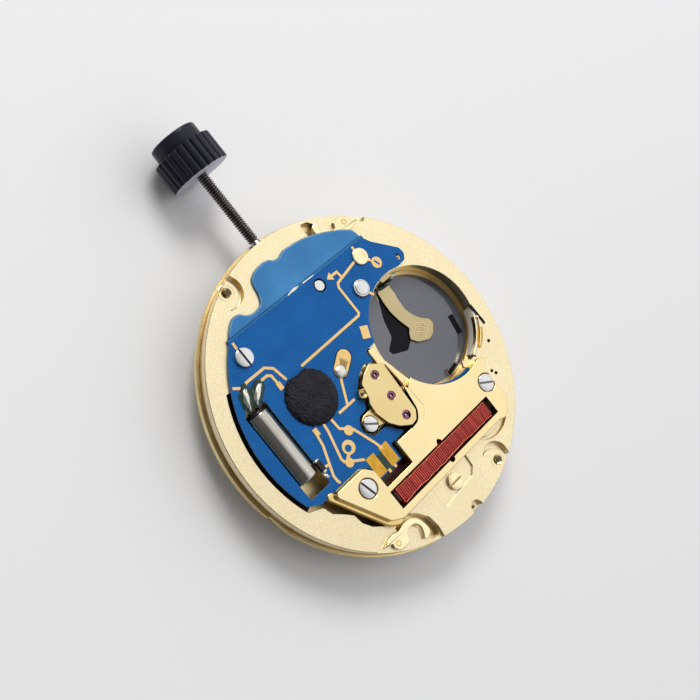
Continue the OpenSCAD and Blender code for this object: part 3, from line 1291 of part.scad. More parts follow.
module bridge_screws() {
    color(steel) {
        for (i = [0, 1]) translate([coil_screws[i].x, coil_screws[i].y, bridge_top - screw_head_h])
            screw(screw_d, screw_head_h, screw_thread_d, bridge_rise + 0.7, [15, 60][i]);
        for (i = [0, 1]) translate([board_screws[i].x, board_screws[i].y, board_top])
            screw(screw_d, screw_head_h, screw_thread_d, 1.1, [0, 25][i]);
    }
}

module rim_screw() {
    color(gold) translate([rim_screw_at.x, rim_screw_at.y, plate_h - 0.14])
        screw(screw_d - 0.1, screw_head_h, screw_thread_d, 0.8, 90);
}

module lug_screw() {
    color(steel) translate([lug_at.x, lug_at.y, lug_top])
        screw(small_screw_d, screw_head_h, small_thread_d, 1.0, 55);
}

module dial_side_screws() {
    color(steel) for (p = dial_screws) translate([p.x, p.y, 0]) mirror([0, 0, 1])
        screw(1.1, 0.12, dial_thread_d, 0.5, 30);
}

main_plate();
screw_tubes();
coil_bridge();
jewel_bridge();
bridge_jewels();
plate_jewels();
circuit_board();
printed_tracks();
cover_film();
chip_dome();
crystal_can();
crystal_seal();
crystal_leads();
chip_capacitor();
contact_stud();
coil_core();
coil_layers();
coil_winding();
stator();
rotor_magnet();
rotor_arbor();
intermediate_wheel();
seconds_wheel();
third_wheel();
centre_wheel();
cannon_pinion();
minute_wheel();
hour_wheel();
setting_wheel();
date_idler();
date_driving_wheel();
date_ring();
date_jumper();
date_guard_plate();
winding_stem();
crown();
sliding_pinion();
setting_lever();
yoke();
lever_spring();
cell_foil();
cell_contact();
cell_clamp();
dial_foot_lever_a();
dial_foot_lever_b();
lever_pivots();
bridge_screws();
rim_screw();
lug_screw();
dial_side_screws();
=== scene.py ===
"""Slim quartz watch movement, bridge side up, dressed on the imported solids.

Pieces are drawn in millimetres and brought to metres when they are finished.
"""

import json
import math

import bmesh
import bpy
from mathutils import Matrix, Vector, noise

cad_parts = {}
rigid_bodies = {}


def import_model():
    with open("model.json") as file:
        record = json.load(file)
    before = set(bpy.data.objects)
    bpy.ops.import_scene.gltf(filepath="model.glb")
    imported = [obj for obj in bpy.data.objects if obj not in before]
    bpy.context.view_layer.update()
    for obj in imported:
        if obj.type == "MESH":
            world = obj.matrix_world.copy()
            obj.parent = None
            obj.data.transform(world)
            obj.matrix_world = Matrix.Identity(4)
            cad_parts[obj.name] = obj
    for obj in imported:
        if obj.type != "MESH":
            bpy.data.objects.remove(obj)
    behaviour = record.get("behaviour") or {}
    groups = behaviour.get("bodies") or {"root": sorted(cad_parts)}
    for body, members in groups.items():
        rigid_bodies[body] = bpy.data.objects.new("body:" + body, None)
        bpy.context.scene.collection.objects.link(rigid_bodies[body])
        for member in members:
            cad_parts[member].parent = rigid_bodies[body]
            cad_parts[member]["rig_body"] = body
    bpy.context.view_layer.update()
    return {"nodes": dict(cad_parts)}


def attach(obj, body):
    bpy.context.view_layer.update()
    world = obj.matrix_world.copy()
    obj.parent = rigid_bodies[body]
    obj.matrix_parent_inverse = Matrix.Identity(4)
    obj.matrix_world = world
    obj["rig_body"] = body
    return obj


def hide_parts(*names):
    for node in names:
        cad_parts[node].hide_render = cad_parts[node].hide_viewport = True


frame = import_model()

MM = 0.001
UP = Vector((0, 0, 1))
MERGE = 1e-4
EDGE_TURN = 42

# Levels of the movement
PLATE_TOP = 1.75
BOARD_TOP = 2.0
TRACK_TOP = 2.03
FOIL_TOP = 0.48
BLADE_TOP = 0.64
STEM_Z = 0.75
TABLE_Z = -1.9
RIM_BANDS = (1.02, 1.12, 1.67)

# Places and sizes seen from above
WELL = (0.25, -6.7)
WELL_R = 4.8
TAPPED_HOLES = ((11.3, 5.0), (-11.3, -4.3))
JEWELS = ((-3.75, 0), (-1.95, 0), (0, 0))
RIM_SCREW = (-10.05, -0.15)
LUG_SCREW = (-2.5, 2.7)
BOARD_SCREW = (7.0, 7.25)
BOARD_RIVET = (5.5, -4.0)
CONTACT_STUD = (7.4, -5.7)
LEVER_PIVOTS = ((-10.22, 6.72), (10.22, -6.72))
COIL = (-7.75, -0.78, 1.62)
CAN_Y, CAN_Z = 9.05, 1.48
DOME = (1.80, 5.0)
DOME_R, DOME_H = 2.13, 0.40
CROWN_X = 19.25


# Camera, floor and light

def add_object(name, data):
    thing = bpy.data.objects.new(name, data)
    bpy.context.scene.collection.objects.link(thing)
    return thing


def point_camera():
    """Camera at the place the picture was taken from."""
    lens = bpy.data.cameras.new("view")
    lens.lens = 56.21
    lens.sensor_width = 36
    lens.clip_start = 0.001
    camera = add_object("view", lens)
    right = Vector((-0.619759, -0.647997, 0.442718))
    up = Vector((0.781107, -0.563928, 0.26806))
    back = Vector((0.07596, 0.511943, 0.855655))
    place_at = Vector((8.616083, 41.084598, 70.534284)) * MM
    camera.matrix_world = Matrix.Translation(place_at) @ Matrix((right, up, back)).transposed().to_4x4()
    bpy.context.scene.camera = camera


def feed(tree, socket, value):
    """Links a socket to another one, or gives it a plain value."""
    if isinstance(value, bpy.types.NodeSocket):
        tree.links.new(value, socket)
    else:
        socket.default_value = value


def add_node(tree, kind, inputs=None, **settings):
    node = tree.nodes.new(f"ShaderNode{kind}")
    for name, value in settings.items():
        setattr(node, name, value)
    for socket, value in (inputs or {}).items():
        feed(tree, node.inputs[socket], value)
    return node


def mix(tree, share, a, b, blend="MIX"):
    """Colour between a and b."""
    node = add_node(tree, "Mix", {"Factor": share, "A": a, "B": b}, data_type="RGBA", blend_type=blend)
    return node.outputs["Result"]


def sky_lobe(tree, direction, towards, start, full, height):
    """Soft round patch of the sky, from its edge at start to the given height at full (cosines)."""
    aim = add_node(tree, "VectorMath", {0: direction, 1: Vector(towards).normalized()},
                   operation="DOT_PRODUCT")
    lobe = add_node(tree, "MapRange", {"Value": aim.outputs["Value"], "From Min": start,
                                       "From Max": full, "To Max": height},
                    interpolation_type="SMOOTHERSTEP")
    return lobe.outputs["Result"]


def light_studio():
    """Pale sky, dark above the camera and bright across from it, with one soft key lamp."""
    sky = bpy.data.worlds.new("studio")
    bpy.context.scene.world = sky
    sky.use_nodes = True
    tree = sky.node_tree
    direction = add_node(tree, "TexCoord").outputs["Generated"]
    split = add_node(tree, "SeparateXYZ", {0: direction})
    rise = add_node(tree, "ValToRGB", {0: split.outputs["Z"]})
    stops = rise.color_ramp.elements
    stops[0].position, stops[0].color = 0.0, (0.12, 0.11, 0.10, 1)
    stops[1].position, stops[1].color = 1.0, (0.74, 0.75, 0.77, 1)
    for position, tone in ((0.12, 0.24), (0.35, 0.52), (0.6, 0.66)):
        stops.new(position).color = (tone, tone, tone * 1.01, 1)
    dark = sky_lobe(tree, direction, (0.05, 0.86, 0.50), 0.34, 0.70, 0.86)
    shade = mix(tree, dark, rise.outputs["Color"], (0.06, 0.058, 0.06, 1))
    window = sky_lobe(tree, direction, (-0.14, -0.80, 0.58), 0.60, 1.0, 0.60)
    lit = mix(tree, 1, shade, window, "ADD")
    seen = add_node(tree, "LightPath").outputs["Is Camera Ray"]
    backdrop = (0.78, 0.785, 0.79, 1)
    feed(tree, tree.nodes["Background"].inputs["Color"], mix(tree, seen, lit, backdrop))

    key = bpy.data.lights.new("key", "AREA")
    key.shape = "DISK"
    key.size = 0.16
    key.energy = 0.62
    key.color = (1.0, 0.985, 0.96)
    lamp = add_object("key", key)
    lamp.location = Vector((0.62, -0.30, 0.68)).normalized() * 0.36
    lamp.rotation_euler = (-lamp.location).to_track_quat("-Z", "Y").to_euler()


def lay_floor():
    """Matt pale table under the hand posts."""
    bm = bmesh.new()
    bmesh.ops.create_grid(bm, x_segments=8, y_segments=8, size=2.0)
    bmesh.ops.translate(bm, vec=(0, 0, TABLE_Z * MM), verts=bm.verts)
    mesh = bpy.data.meshes.new("table")
    bm.to_mesh(mesh)
    bm.free()
    table = add_object("table", mesh)
    card = bpy.data.materials.new("table_card")
    card.use_nodes = True
    shader = card.node_tree.nodes["Principled BSDF"].inputs
    shader["Base Color"].default_value = (0.90, 0.905, 0.91, 1)
    shader["Roughness"].default_value = 0.9
    shader["Specular IOR Level"].default_value = 0.1
    mesh.materials.append(card)


# Effects that several finishes share

def effect(name, size, inputs, outputs):
    """Empty node group that reads a place and a size, with its inner inputs and outputs."""
    group = bpy.data.node_groups.new(name, "ShaderNodeTree")
    for label, kind, value in [("Place", "Vector", None), ("Size", "Float", size)] + inputs:
        socket = group.interface.new_socket(name=label, in_out="INPUT", socket_type=f"NodeSocket{kind}")
        if value is not None:
            socket.default_value = value
    for label, kind in outputs:
        group.interface.new_socket(name=label, in_out="OUTPUT", socket_type=f"NodeSocket{kind}")
    start, end = group.nodes.new("NodeGroupInput"), group.nodes.new("NodeGroupOutput")
    return group, start.outputs, end.inputs


def noise_in(group, start, detail, rough):
    return add_node(group, "TexNoise", {"Vector": start["Place"], "Scale": start["Size"],
                                        "Detail": detail, "Roughness": rough}).outputs["Fac"]


def cells_in(group, start):
    cells = add_node(group, "TexVoronoi", {"Vector": start["Place"], "Scale": start["Size"]})
    return cells.outputs["Distance"]


def spread_in(group, source, low=0.0, high=1.0):
    """The middle of a noise, spread from low to high."""
    return add_node(group, "MapRange", {"Value": source, "From Min": 0.3, "From Max": 0.7,
                                        "To Min": low, "To Max": high}).outputs["Result"]


def build_cloudy_tint():
    """Two tones that drift into each other, as plating and lacquer do."""
    group, start, end = effect("cloudy_tint", 400.0, [
        ("Pale", "Color", (1, 1, 1, 1)), ("Deep", "Color", (0.5, 0.5, 0.5, 1))], [("Tint", "Color")])
    share = spread_in(group, noise_in(group, start, 4.0, 0.55))
    feed(group, end["Tint"], mix(group, share, start["Deep"], start["Pale"]))
    return group


def build_blasted_grain():
    """Grain of a blasted or cast face: a height and a speckle."""
    group, start, end = effect("blasted_grain", 20000.0, [], [("Height", "Float"), ("Speckle", "Float")])
    fine = noise_in(group, start, 2.0, 0.7)
    height = add_node(group, "Math", {0: fine, 1: cells_in(group, start)}, operation="ADD")
    feed(group, end["Height"], height.outputs[0])
    feed(group, end["Speckle"], spread_in(group, fine))
    return group


def build_patchy_gloss():
    """Roughness that wanders between two values, with faint smears."""
    group, start, end = effect("patchy_gloss", 700.0, [
        ("Smooth", "Float", 0.2), ("Matt", "Float", 0.35)], [("Roughness", "Float")])
    cloud = noise_in(group, start, 5.0, 0.65)
    feed(group, end["Roughness"], spread_in(group, cloud, start["Smooth"], start["Matt"]))
    return group


def build_loose_dust():
    """Sparse specks of dust and lint that settle on a surface."""
    group, start, end = effect("loose_dust", 3000.0, [("Amount", "Float", 0.1)], [("Mask", "Float")])
    near = add_node(group, "Math", {0: cells_in(group, start), 1: start["Amount"]}, operation="LESS_THAN")
    feed(group, end["Mask"], near.outputs[0])
    return group


CLOUDY_TINT = build_cloudy_tint()
BLASTED_GRAIN = build_blasted_grain()
PATCHY_GLOSS = build_patchy_gloss()
LOOSE_DUST = build_loose_dust()


def use_effect(tree, group, inputs):
    return add_node(tree, "Group", inputs, node_tree=group).outputs


FINISHES = {}


def make_finish(name, pale, deep, metal=0.0, gloss=(0.25, 0.35), grain=(20000, 0.0), clouds=350,
                stretch=(1, 1, 1), speckle=0.0, dust=0.0, dust_colour=(0.8, 0.78, 0.72), coat=0.0,
                coat_rough=0.1, specular=0.5):
    """Finish with a drifting tint, a grain of given size and depth (mm), and patchy gloss."""
    finish = bpy.data.materials.new(name)
    finish.use_nodes = True
    tree = finish.node_tree
    shader = tree.nodes["Principled BSDF"].inputs
    shader["Metallic"].default_value = metal
    shader["Coat Weight"].default_value = coat
    shader["Coat Roughness"].default_value = coat_rough
    shader["Specular IOR Level"].default_value = specular
    spot = add_node(tree, "TexCoord").outputs["Object"]
    lay = add_node(tree, "Mapping", {"Vector": spot, "Scale": stretch}).outputs["Vector"]
    shown = use_effect(tree, CLOUDY_TINT, {
        "Place": lay, "Size": clouds, "Pale": (*pale, 1), "Deep": (*deep, 1)})["Tint"]
    if dust:
        specks = use_effect(tree, LOOSE_DUST, {"Place": spot, "Amount": dust})["Mask"]
        shown = mix(tree, specks, shown, (*dust_colour, 1))
    patches = use_effect(tree, PATCHY_GLOSS, {"Place": lay, "Smooth": gloss[0], "Matt": gloss[1]})
    feed(tree, shader["Roughness"], patches["Roughness"])
    size, depth = grain
    if depth:
        grit = use_effect(tree, BLASTED_GRAIN, {"Place": lay, "Size": size})
        bump = add_node(tree, "Bump", {"Height": grit["Height"], "Strength": 1.0, "Distance": depth * MM})
        feed(tree, shader["Normal"], bump.outputs["Normal"])
    if speckle:
        shown = mix(tree, grit["Speckle"], shown, (*(tone * (1 - speckle) for tone in deep), 1))
    feed(tree, shader["Base Color"], shown)
    FINISHES[name] = finish
    return finish


# Finishes of the movement: pale and deep tone, metal, gloss, grain
make_finish("blasted_gold", (0.97, 0.85, 0.57), (0.88, 0.75, 0.47), 1.0, (0.34, 0.44), (11000, 0.006),
            speckle=0.18, dust=0.02, dust_colour=(0.6, 0.5, 0.3))
make_finish("turned_gold", (0.88, 0.74, 0.45), (0.76, 0.58, 0.29), 1.0, (0.16, 0.26), (3000, 0.0012),
            stretch=(0.05, 0.05, 6))
make_finish("edge_gold", (0.95, 0.78, 0.40), (0.84, 0.62, 0.24), 1.0, (0.12, 0.2), (3000, 0.0008))
# The next two finishes are painted light: a pale band standing for a highlight on the rim, and a brown gold
# standing for shade on the rim and in slots.
make_finish("pale_band_painted_highlight", (0.95, 0.86, 0.62), (0.86, 0.74, 0.48), 0.5, (0.4, 0.5), (9000, 0.002))
make_finish("brown_gold_painted_shade", (0.58, 0.39, 0.15), (0.34, 0.21, 0.07), 1.0, (0.2, 0.34), (3000, 0.0012),
            stretch=(0.3, 0.3, 5))
make_finish("pocket_gold", (0.84, 0.68, 0.38), (0.62, 0.46, 0.21), 1.0, (0.28, 0.42), (9000, 0.003))
make_finish("well_gold", (0.84, 0.72, 0.46), (0.66, 0.50, 0.26), 1.0, (0.10, 0.2), (2500, 0.0012),
            stretch=(0.04, 0.04, 5))
make_finish("bridge_gold", (0.86, 0.71, 0.40), (0.80, 0.64, 0.33), 1.0, (0.26, 0.36), (11000, 0.0016),
            dust=0.012, dust_colour=(0.6, 0.45, 0.2))
make_finish("jewel_bridge_gold", (0.72, 0.57, 0.29), (0.66, 0.51, 0.235), 1.0, (0.2, 0.3), (9000, 0.0005))
make_finish("lever_gold", (0.90, 0.78, 0.50), (0.82, 0.67, 0.38), 1.0, (0.14, 0.24), (4000, 0.0006))
make_finish("spring_gold", (0.50, 0.41, 0.235), (0.40, 0.315, 0.165), 1.0, (0.22, 0.36), (6000, 0.0008))
make_finish("amber_gold", (0.70, 0.40, 0.055), (0.50, 0.26, 0.025), 0.85, (0.3, 0.45), (9000, 0.002),
            clouds=1500)
make_finish("track_gold", (0.80, 0.56, 0.25), (0.72, 0.47, 0.18), 0.9, (0.3, 0.42), (12000, 0.0012))
make_finish("screw_steel", (0.70, 0.695, 0.68), (0.56, 0.555, 0.55), 1.0, (0.14, 0.26), (2500, 0.0005),
            stretch=(1, 12, 1))
# Dark steel: the rotor magnet's own tone, and painted shade inside screw slots.
make_finish("pivot_steel_and_slot_shade", (0.24, 0.23, 0.23), (0.15, 0.14, 0.14), 1.0, (0.2, 0.34), (4000, 0.0006))
# Dark steel on the thread below its crests is painted shade; the paler steel on the crests is a painted
# highlight, and it is also the plain steel of the stem's inner parts.
make_finish("stem_steel_root_shade", (0.16, 0.145, 0.14), (0.09, 0.08, 0.075), 1.0, (0.28, 0.42), (6000, 0.001))
make_finish("steel_and_crest_highlight", (0.56, 0.54, 0.52), (0.36, 0.34, 0.33), 1.0, (0.2, 0.34), (6000, 0.001))
make_finish("can_steel", (0.58, 0.56, 0.50), (0.40, 0.38, 0.33), 1.0, (0.04, 0.09), (2500, 0.0003),
            stretch=(0.4, 6, 6))
make_finish("soft_iron", (0.48, 0.47, 0.47), (0.36, 0.35, 0.35), 1.0, (0.3, 0.5), (7000, 0.0015))
make_finish("solder", (0.76, 0.75, 0.68), (0.58, 0.57, 0.48), 0.9, (0.16, 0.4), (3500, 0.006), clouds=2200)
make_finish("wheel_brass", (0.83, 0.66, 0.33), (0.74, 0.55, 0.24), 1.0, (0.2, 0.32), (3000, 0.0008))
make_finish("guard_steel", (0.76, 0.76, 0.76), (0.66, 0.66, 0.67), 1.0, (0.22, 0.34), (2500, 0.001),
            stretch=(1, 14, 1))
make_finish("ring_white", (0.80, 0.79, 0.76), (0.74, 0.73, 0.69), 0.0, (0.35, 0.5), (9000, 0.001))
make_finish("number_black", (0.02, 0.02, 0.02), (0.015, 0.015, 0.015), 0.0, (0.4, 0.5))
make_finish("film_blue", (0.058, 0.262, 0.565), (0.020, 0.146, 0.385), 0.0, (0.34, 0.5), (5000, 0.002),
            clouds=190, dust=0.02, dust_colour=(0.12, 0.3, 0.5), specular=0.2)
# Paler blue for the film's edge: a painted highlight.
make_finish("film_edge_painted_highlight", (0.15, 0.36, 0.60), (0.07, 0.24, 0.47), 0.0, (0.3, 0.5), clouds=1200, specular=0.3)
make_finish("board_edge", (0.28, 0.48, 0.66), (0.05, 0.20, 0.42), 0.0, (0.5, 0.7), (12000, 0.004),
            clouds=3000, specular=0.2)
make_finish("shade_blue", (0.045, 0.20, 0.44), (0.028, 0.14, 0.34), 0.0, (0.4, 0.6), specular=0.1)
make_finish("green_lacquer", (0.015, 0.06, 0.035), (0.006, 0.028, 0.02), 0.0, (0.1, 0.25), (3500, 0.003),
            clouds=1500, specular=0.3)
make_finish("black_resin", (0.026, 0.026, 0.032), (0.008, 0.008, 0.012), 0.0, (0.40, 0.75), (5200, 0.065),
            clouds=1400, specular=0.16)
make_finish("black_plastic", (0.026, 0.026, 0.042), (0.017, 0.017, 0.028), 0.0, (0.22, 0.36), (4000, 0.0006),
            clouds=200, dust=0.045, dust_colour=(0.16, 0.16, 0.20), specular=0.16)
# Pale plastic for the crown's back face: a painted reflection.
make_finish("crown_back_painted_reflection", (0.58, 0.58, 0.68), (0.46, 0.46, 0.57), 0.0, (0.4, 0.6), (4000, 0.001),
            clouds=300, specular=0.3)
# Black finish for slits, marks and grooves; also painted shade in gaps and a painted reflection on the foil.
make_finish("black_liner_painted_shade_and_reflection", (0.010, 0.009, 0.011), (0.006, 0.005, 0.007), 0.0, (0.3, 0.45), specular=0.08)
make_finish("chip_black", (0.016, 0.015, 0.016), (0.008, 0.008, 0.009), 0.0, (0.15, 0.3), (6000, 0.001),
            specular=0.3)
make_finish("foil_grey", (0.115, 0.122, 0.145), (0.090, 0.096, 0.118), 0.15, (0.10, 0.16), (1500, 0.0006),
            clouds=150, dust=0.02, dust_colour=(0.3, 0.3, 0.34), coat=0.5, coat_rough=0.05)
make_finish("ruby", (0.30, 0.035, 0.16), (0.16, 0.012, 0.08), 0.0, (0.05, 0.12), clouds=3000, coat=1.0,
            coat_rough=0.03)
make_finish("ruby_deep", (0.075, 0.008, 0.045), (0.04, 0.004, 0.025), 0.0, (0.05, 0.12), clouds=3000,
            coat=1.0, coat_rough=0.03)
make_finish("wire_red", (0.72, 0.095, 0.055), (0.34, 0.020, 0.020), 0.35, (0.2, 0.34), clouds=1600,
            stretch=(0.12, 3, 0.12), coat=0.3, coat_rough=0.2)
# Brighter copper red for the edge strands: a painted highlight.
make_finish("wire_edge_painted_highlight", (0.85, 0.24, 0.12), (0.62, 0.09, 0.04), 0.35, (0.2, 0.35), coat=0.5)
# Dark red: the inner layers and cheeks of the coil, and painted shade in the gap by the tongue.
make_finish("wire_dark_and_painted_shade", (0.10, 0.008, 0.010), (0.05, 0.004, 0.006), 0.1, (0.3, 0.5))
# Near-white finish for the clamp's band: a painted highlight on the gold spring.
make_finish("clamp_white_painted_highlight", (0.98, 0.95, 0.86), (0.92, 0.86, 0.70), 0.35, (0.3, 0.45), (6000, 0.001))
# Darker gold: the tone of the bush and rivets, and painted shade on walls and the lower step.
make_finish("bush_gold_and_painted_shade", (0.78, 0.58, 0.25), (0.56, 0.37, 0.12), 1.0, (0.10, 0.2), (3000, 0.0006))


def make_board_blue():
    """Blue solder lacquer over a woven board: a fine slanting check shows through."""
    tree = make_finish("board_blue", (0.008, 0.135, 0.43), (0.005, 0.108, 0.36), 0.0, (0.3, 0.42),
                       clouds=500, dust=0.010, dust_colour=(0.1, 0.25, 0.42), specular=0.12).node_tree
    shader = tree.nodes["Principled BSDF"].inputs
    spot = add_node(tree, "TexCoord").outputs["Object"]
    threads = []
    for angle in (28, 118):
        lay = add_node(tree, "Mapping", {"Vector": spot, "Rotation": (0, 0, math.radians(angle))})
        band = add_node(tree, "TexWave", {"Vector": lay.outputs["Vector"], "Scale": 1150,
                                          "Distortion": 0.6, "Detail": 1.0, "Detail Scale": 2.0})
        threads.append(band.outputs["Fac"])
    weave = add_node(tree, "Math", dict(enumerate(threads)), operation="MULTIPLY").outputs[0]
    lacquer = shader["Base Color"].links[0].from_socket
    feed(tree, shader["Base Color"], mix(tree, weave, lacquer, (0.62, 0.80, 0.86, 1), "MULTIPLY"))
    bump = add_node(tree, "Bump", {"Height": weave, "Distance": 0.004 * MM})
    feed(tree, shader["Normal"], bump.outputs["Normal"])


make_board_blue()


# Ways of making a piece

def weld(bm):
    bmesh.ops.remove_doubles(bm, verts=bm.verts, dist=MERGE)


def add_piece(name, bm, slot, finishes=(), replaces=(), smooth=35, soften=0.0, rounds=2, zone=None,
              edge_finish=-1, spare=None, body="plate", drawn_in_mm=True, mend=True):
    """Brings a drawn shape to metres and gives it its body and its finishes, or the slot's own."""
    if mend:
        weld(bm)
        bmesh.ops.recalc_face_normals(bm, faces=bm.faces)
    if drawn_in_mm:
        bmesh.ops.scale(bm, vec=(MM, MM, MM), verts=bm.verts)
    if zone:
        bm.normal_update()
        for face in bm.faces:
            face.material_index = int(zone(face.calc_center_median() / MM, face.normal))
    if spare:
        weight = bm.edges.layers.float.new("bevel_weight_edge")
        for edge in bm.edges:
            middle = (edge.verts[0].co + edge.verts[1].co) / (2 * MM)
            if edge.is_manifold and edge.calc_face_angle() > math.radians(EDGE_TURN) and not spare(middle):
                edge[weight] = 1.0
    mesh = bpy.data.meshes.new(name)
    bm.to_mesh(mesh)
    bm.free()
    for finish in finishes or [slot]:
        mesh.materials.append(FINISHES[finish])
    mesh.shade_smooth()
    mesh.set_sharp_from_angle(angle=math.radians(smooth))
    piece = add_object(name, mesh)
    if soften:
        edge = piece.modifiers.new("soft_edges", "BEVEL")
        edge.width = soften * MM
        edge.segments = rounds
        edge.limit_method = "WEIGHT" if spare else "ANGLE"
        edge.angle_limit = math.radians(EDGE_TURN)
        edge.use_clamp_overlap = False
        edge.material = edge_finish
        even = piece.modifiers.new("even_faces", "WEIGHTED_NORMAL")
        even.keep_sharp = True
        even.weight = 80
    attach(piece, body)
    if replaces:
        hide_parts(*replaces)
    return piece


def dress(node, slot, finishes=(), soften=0.02, rounds=2, zone=None, cuts=(), spare=None):
    """Merged copy of a solid with softened edges, which then stands for the solid."""
    source = frame["nodes"][node]
    bm = bmesh.new()
    bm.from_mesh(source.data)
    bmesh.ops.remove_doubles(bm, verts=bm.verts, dist=2e-7)
    bmesh.ops.dissolve_limit(bm, angle_limit=math.radians(0.6), use_dissolve_boundaries=False,
                             verts=bm.verts, edges=bm.edges, delimit=set())
    for level in cuts:
        wall = [f for f in bm.faces
                if abs(f.normal.z) < 0.3 and f.calc_center_median().xy.length > 12.6 * MM]
        around = {e for f in wall for e in f.edges} | {v for f in wall for v in f.verts} | set(wall)
        bmesh.ops.bisect_plane(bm, geom=list(around), dist=1e-7, plane_co=(0, 0, level * MM), plane_no=UP)
    return add_piece(f"{node}_dressed", bm, slot, finishes, (node,), EDGE_TURN, soften, rounds, zone,
                     spare=spare, body=source["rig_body"], drawn_in_mm=False, mend=False)


def join(target, *others):
    """Adds other shapes to the target shape."""
    for other in others:
        carrier = bpy.data.meshes.new("carrier")
        other.to_mesh(carrier)
        other.free()
        target.from_mesh(carrier)
        bpy.data.meshes.remove(carrier)
    return target


def gather(shapes):
    return join(bmesh.new(), *shapes)


def place(bm, at=(0, 0, 0), turn=0.0, axis="Z"):
    spin = Matrix.Rotation(math.radians(turn), 3, axis)
    bmesh.ops.rotate(bm, cent=(0, 0, 0), matrix=spin, verts=bm.verts)
    bmesh.ops.translate(bm, vec=at, verts=bm.verts)
    return bm


def picked(geom, kind=bmesh.types.BMVert):
    return [g for g in geom if isinstance(g, kind)]


def cut_away(bm, at, towards, inner=True):
    """Cuts one side off along a plane and closes the cut."""
    cut = bmesh.ops.bisect_plane(bm, geom=bm.verts[:] + bm.edges[:] + bm.faces[:], dist=1e-5,
                                 plane_co=at, plane_no=towards, clear_inner=inner, clear_outer=not inner)
    bmesh.ops.holes_fill(bm, edges=picked(cut["geom_cut"], bmesh.types.BMEdge), sides=0)


def raise_faces(bm, height):
    grown = bmesh.ops.extrude_face_region(bm, geom=bm.faces[:])
    bmesh.ops.translate(bm, vec=(0, 0, height), verts=picked(grown["geom"]))
    return bm


def slab(corners, z0, z1, steps=4):
    """Flat blank cut to an outline of (x, y, corner radius)."""
    bm = bmesh.new()
    points = [bm.verts.new((x, y, z0)) for x, y, _ in corners]
    bm.faces.new(points)
    for radius in sorted({c[2] for c in corners if c[2] > 0}):
        chosen = [p for p, c in zip(points, corners) if c[2] == radius]
        bmesh.ops.bevel(bm, geom=chosen, offset=radius, offset_type="OFFSET", segments=steps, profile=0.5,
                        affect="VERTICES", clamp_overlap=True, material=-1)
    return raise_faces(bm, z1 - z0)


def strip(x0, y0, x1, y1, corner, z0, z1):
    return slab([(x0, y0, corner), (x1, y0, corner), (x1, y1, corner), (x0, y1, corner)], z0, z1)


def lathe(profile, steps=48, turns=1, rise=0.0):
    """Piece turned about Z from a profile of (radius, height); a rise for each turn winds a helix."""
    bm = bmesh.new()
    line = [bm.verts.new((r, 0, z)) for r, z in profile]
    edges = [bm.edges.new(pair) for pair in zip(line, line[1:])]
    bmesh.ops.spin(bm, geom=line + edges, cent=(0, 0, 0), axis=UP, dvec=(0, 0, rise / steps),
                   angle=math.tau * turns, steps=steps * turns, use_merge=not rise, use_duplicate=False)
    weld(bm)
    return bm


def turned(profile, at, steps=48):
    return place(lathe(profile, steps), at)


def ring_part(profile, at, a0, a1):
    """Part of a turned ring, less than half of it, between two angles."""
    bm = lathe(profile, 180)
    for angle, inner in ((a0, True), (a1, False)):
        turn = math.radians(angle)
        cut_away(bm, (0, 0, 0), (-math.sin(turn), math.cos(turn), 0), inner)
    return place(bm, (*at, 0))


def thread(root, crest, pitch, turns, inward=False):
    """Helical thread about Z that starts at height zero."""
    ridge = ((root, 0), (crest, 0.38), (crest, 0.5), (root, 0.88), (root, 1))
    bm = lathe([(r, z * pitch) for r, z in ridge], 28, turns, pitch)
    bmesh.ops.recalc_face_normals(bm, faces=bm.faces)
    face = max(bm.faces, key=lambda f: f.calc_center_median().z)
    outward = face.normal.xy.dot(face.calc_center_median().xy) > 0
    if outward == inward:
        bmesh.ops.reverse_faces(bm, faces=bm.faces)
    return bm


def shape_of(curve):
    """Shape of a curve or a text, which is deleted."""
    holder = add_object("draft", curve)
    mesh = bpy.data.meshes.new_from_object(holder.evaluated_get(bpy.context.evaluated_depsgraph_get()))
    bm = bmesh.new()
    bm.from_mesh(mesh)
    bpy.data.objects.remove(holder)
    bpy.data.curves.remove(curve)
    bpy.data.meshes.remove(mesh)
    return bm


def wire(points, radius, sides=3, cyclic=False):
    """Round wire along a row of places."""
    line = bpy.data.curves.new("wire", "CURVE")
    line.dimensions = "3D"
    line.bevel_depth = radius
    line.bevel_resolution = sides - 2
    line.use_fill_caps = True
    run = line.splines.new("POLY")
    run.points.add(len(points) - 1)
    for point, (x, y, z) in zip(run.points, points):
        point.co = (x, y, z, 1)
    run.use_cyclic_u = cyclic
    return shape_of(line)


def lump(at, size, turn=0.0, rough=0.12, seed=0.0):
    """Lumpy drop, flat underneath, as solder and lacquer set."""
    bm = bmesh.new()
    bmesh.ops.create_icosphere(bm, subdivisions=3, radius=1.0)
    for v in bm.verts:
        swell = 1 + rough * noise.noise(v.co * 2.1 + Vector((seed, seed * 1.7, 0)))
        v.co = Vector((v.co.x * size[0], v.co.y * size[1], max(v.co.z, -0.25) * size[2])) * swell
    return place(bm, at, turn)


def arc(at, radius, a0, a1, steps=24):
    turns = [math.radians(a0 + (a1 - a0) * k / steps) for k in range(steps + 1)]
    return [(at[0] + radius * math.cos(t), at[1] + radius * math.sin(t)) for t in turns]


def arc_slab(at, r_in, r_out, a0, a1, z0, z1, steps=28):
    """Curved strip between two radii."""
    rim = arc(at, r_out, a0, a1, steps) + arc(at, r_in, a1, a0, steps)
    return slab([(x, y, 0) for x, y in rim], z0, z1)


def wall_zone(centre, normal):
    return abs(normal.z) < 0.5


# Plate and bridges

BLASTED, POCKET, WELL_WALL, RIM_EDGE, RIM_SHADE, RIM_BAND = range(6)


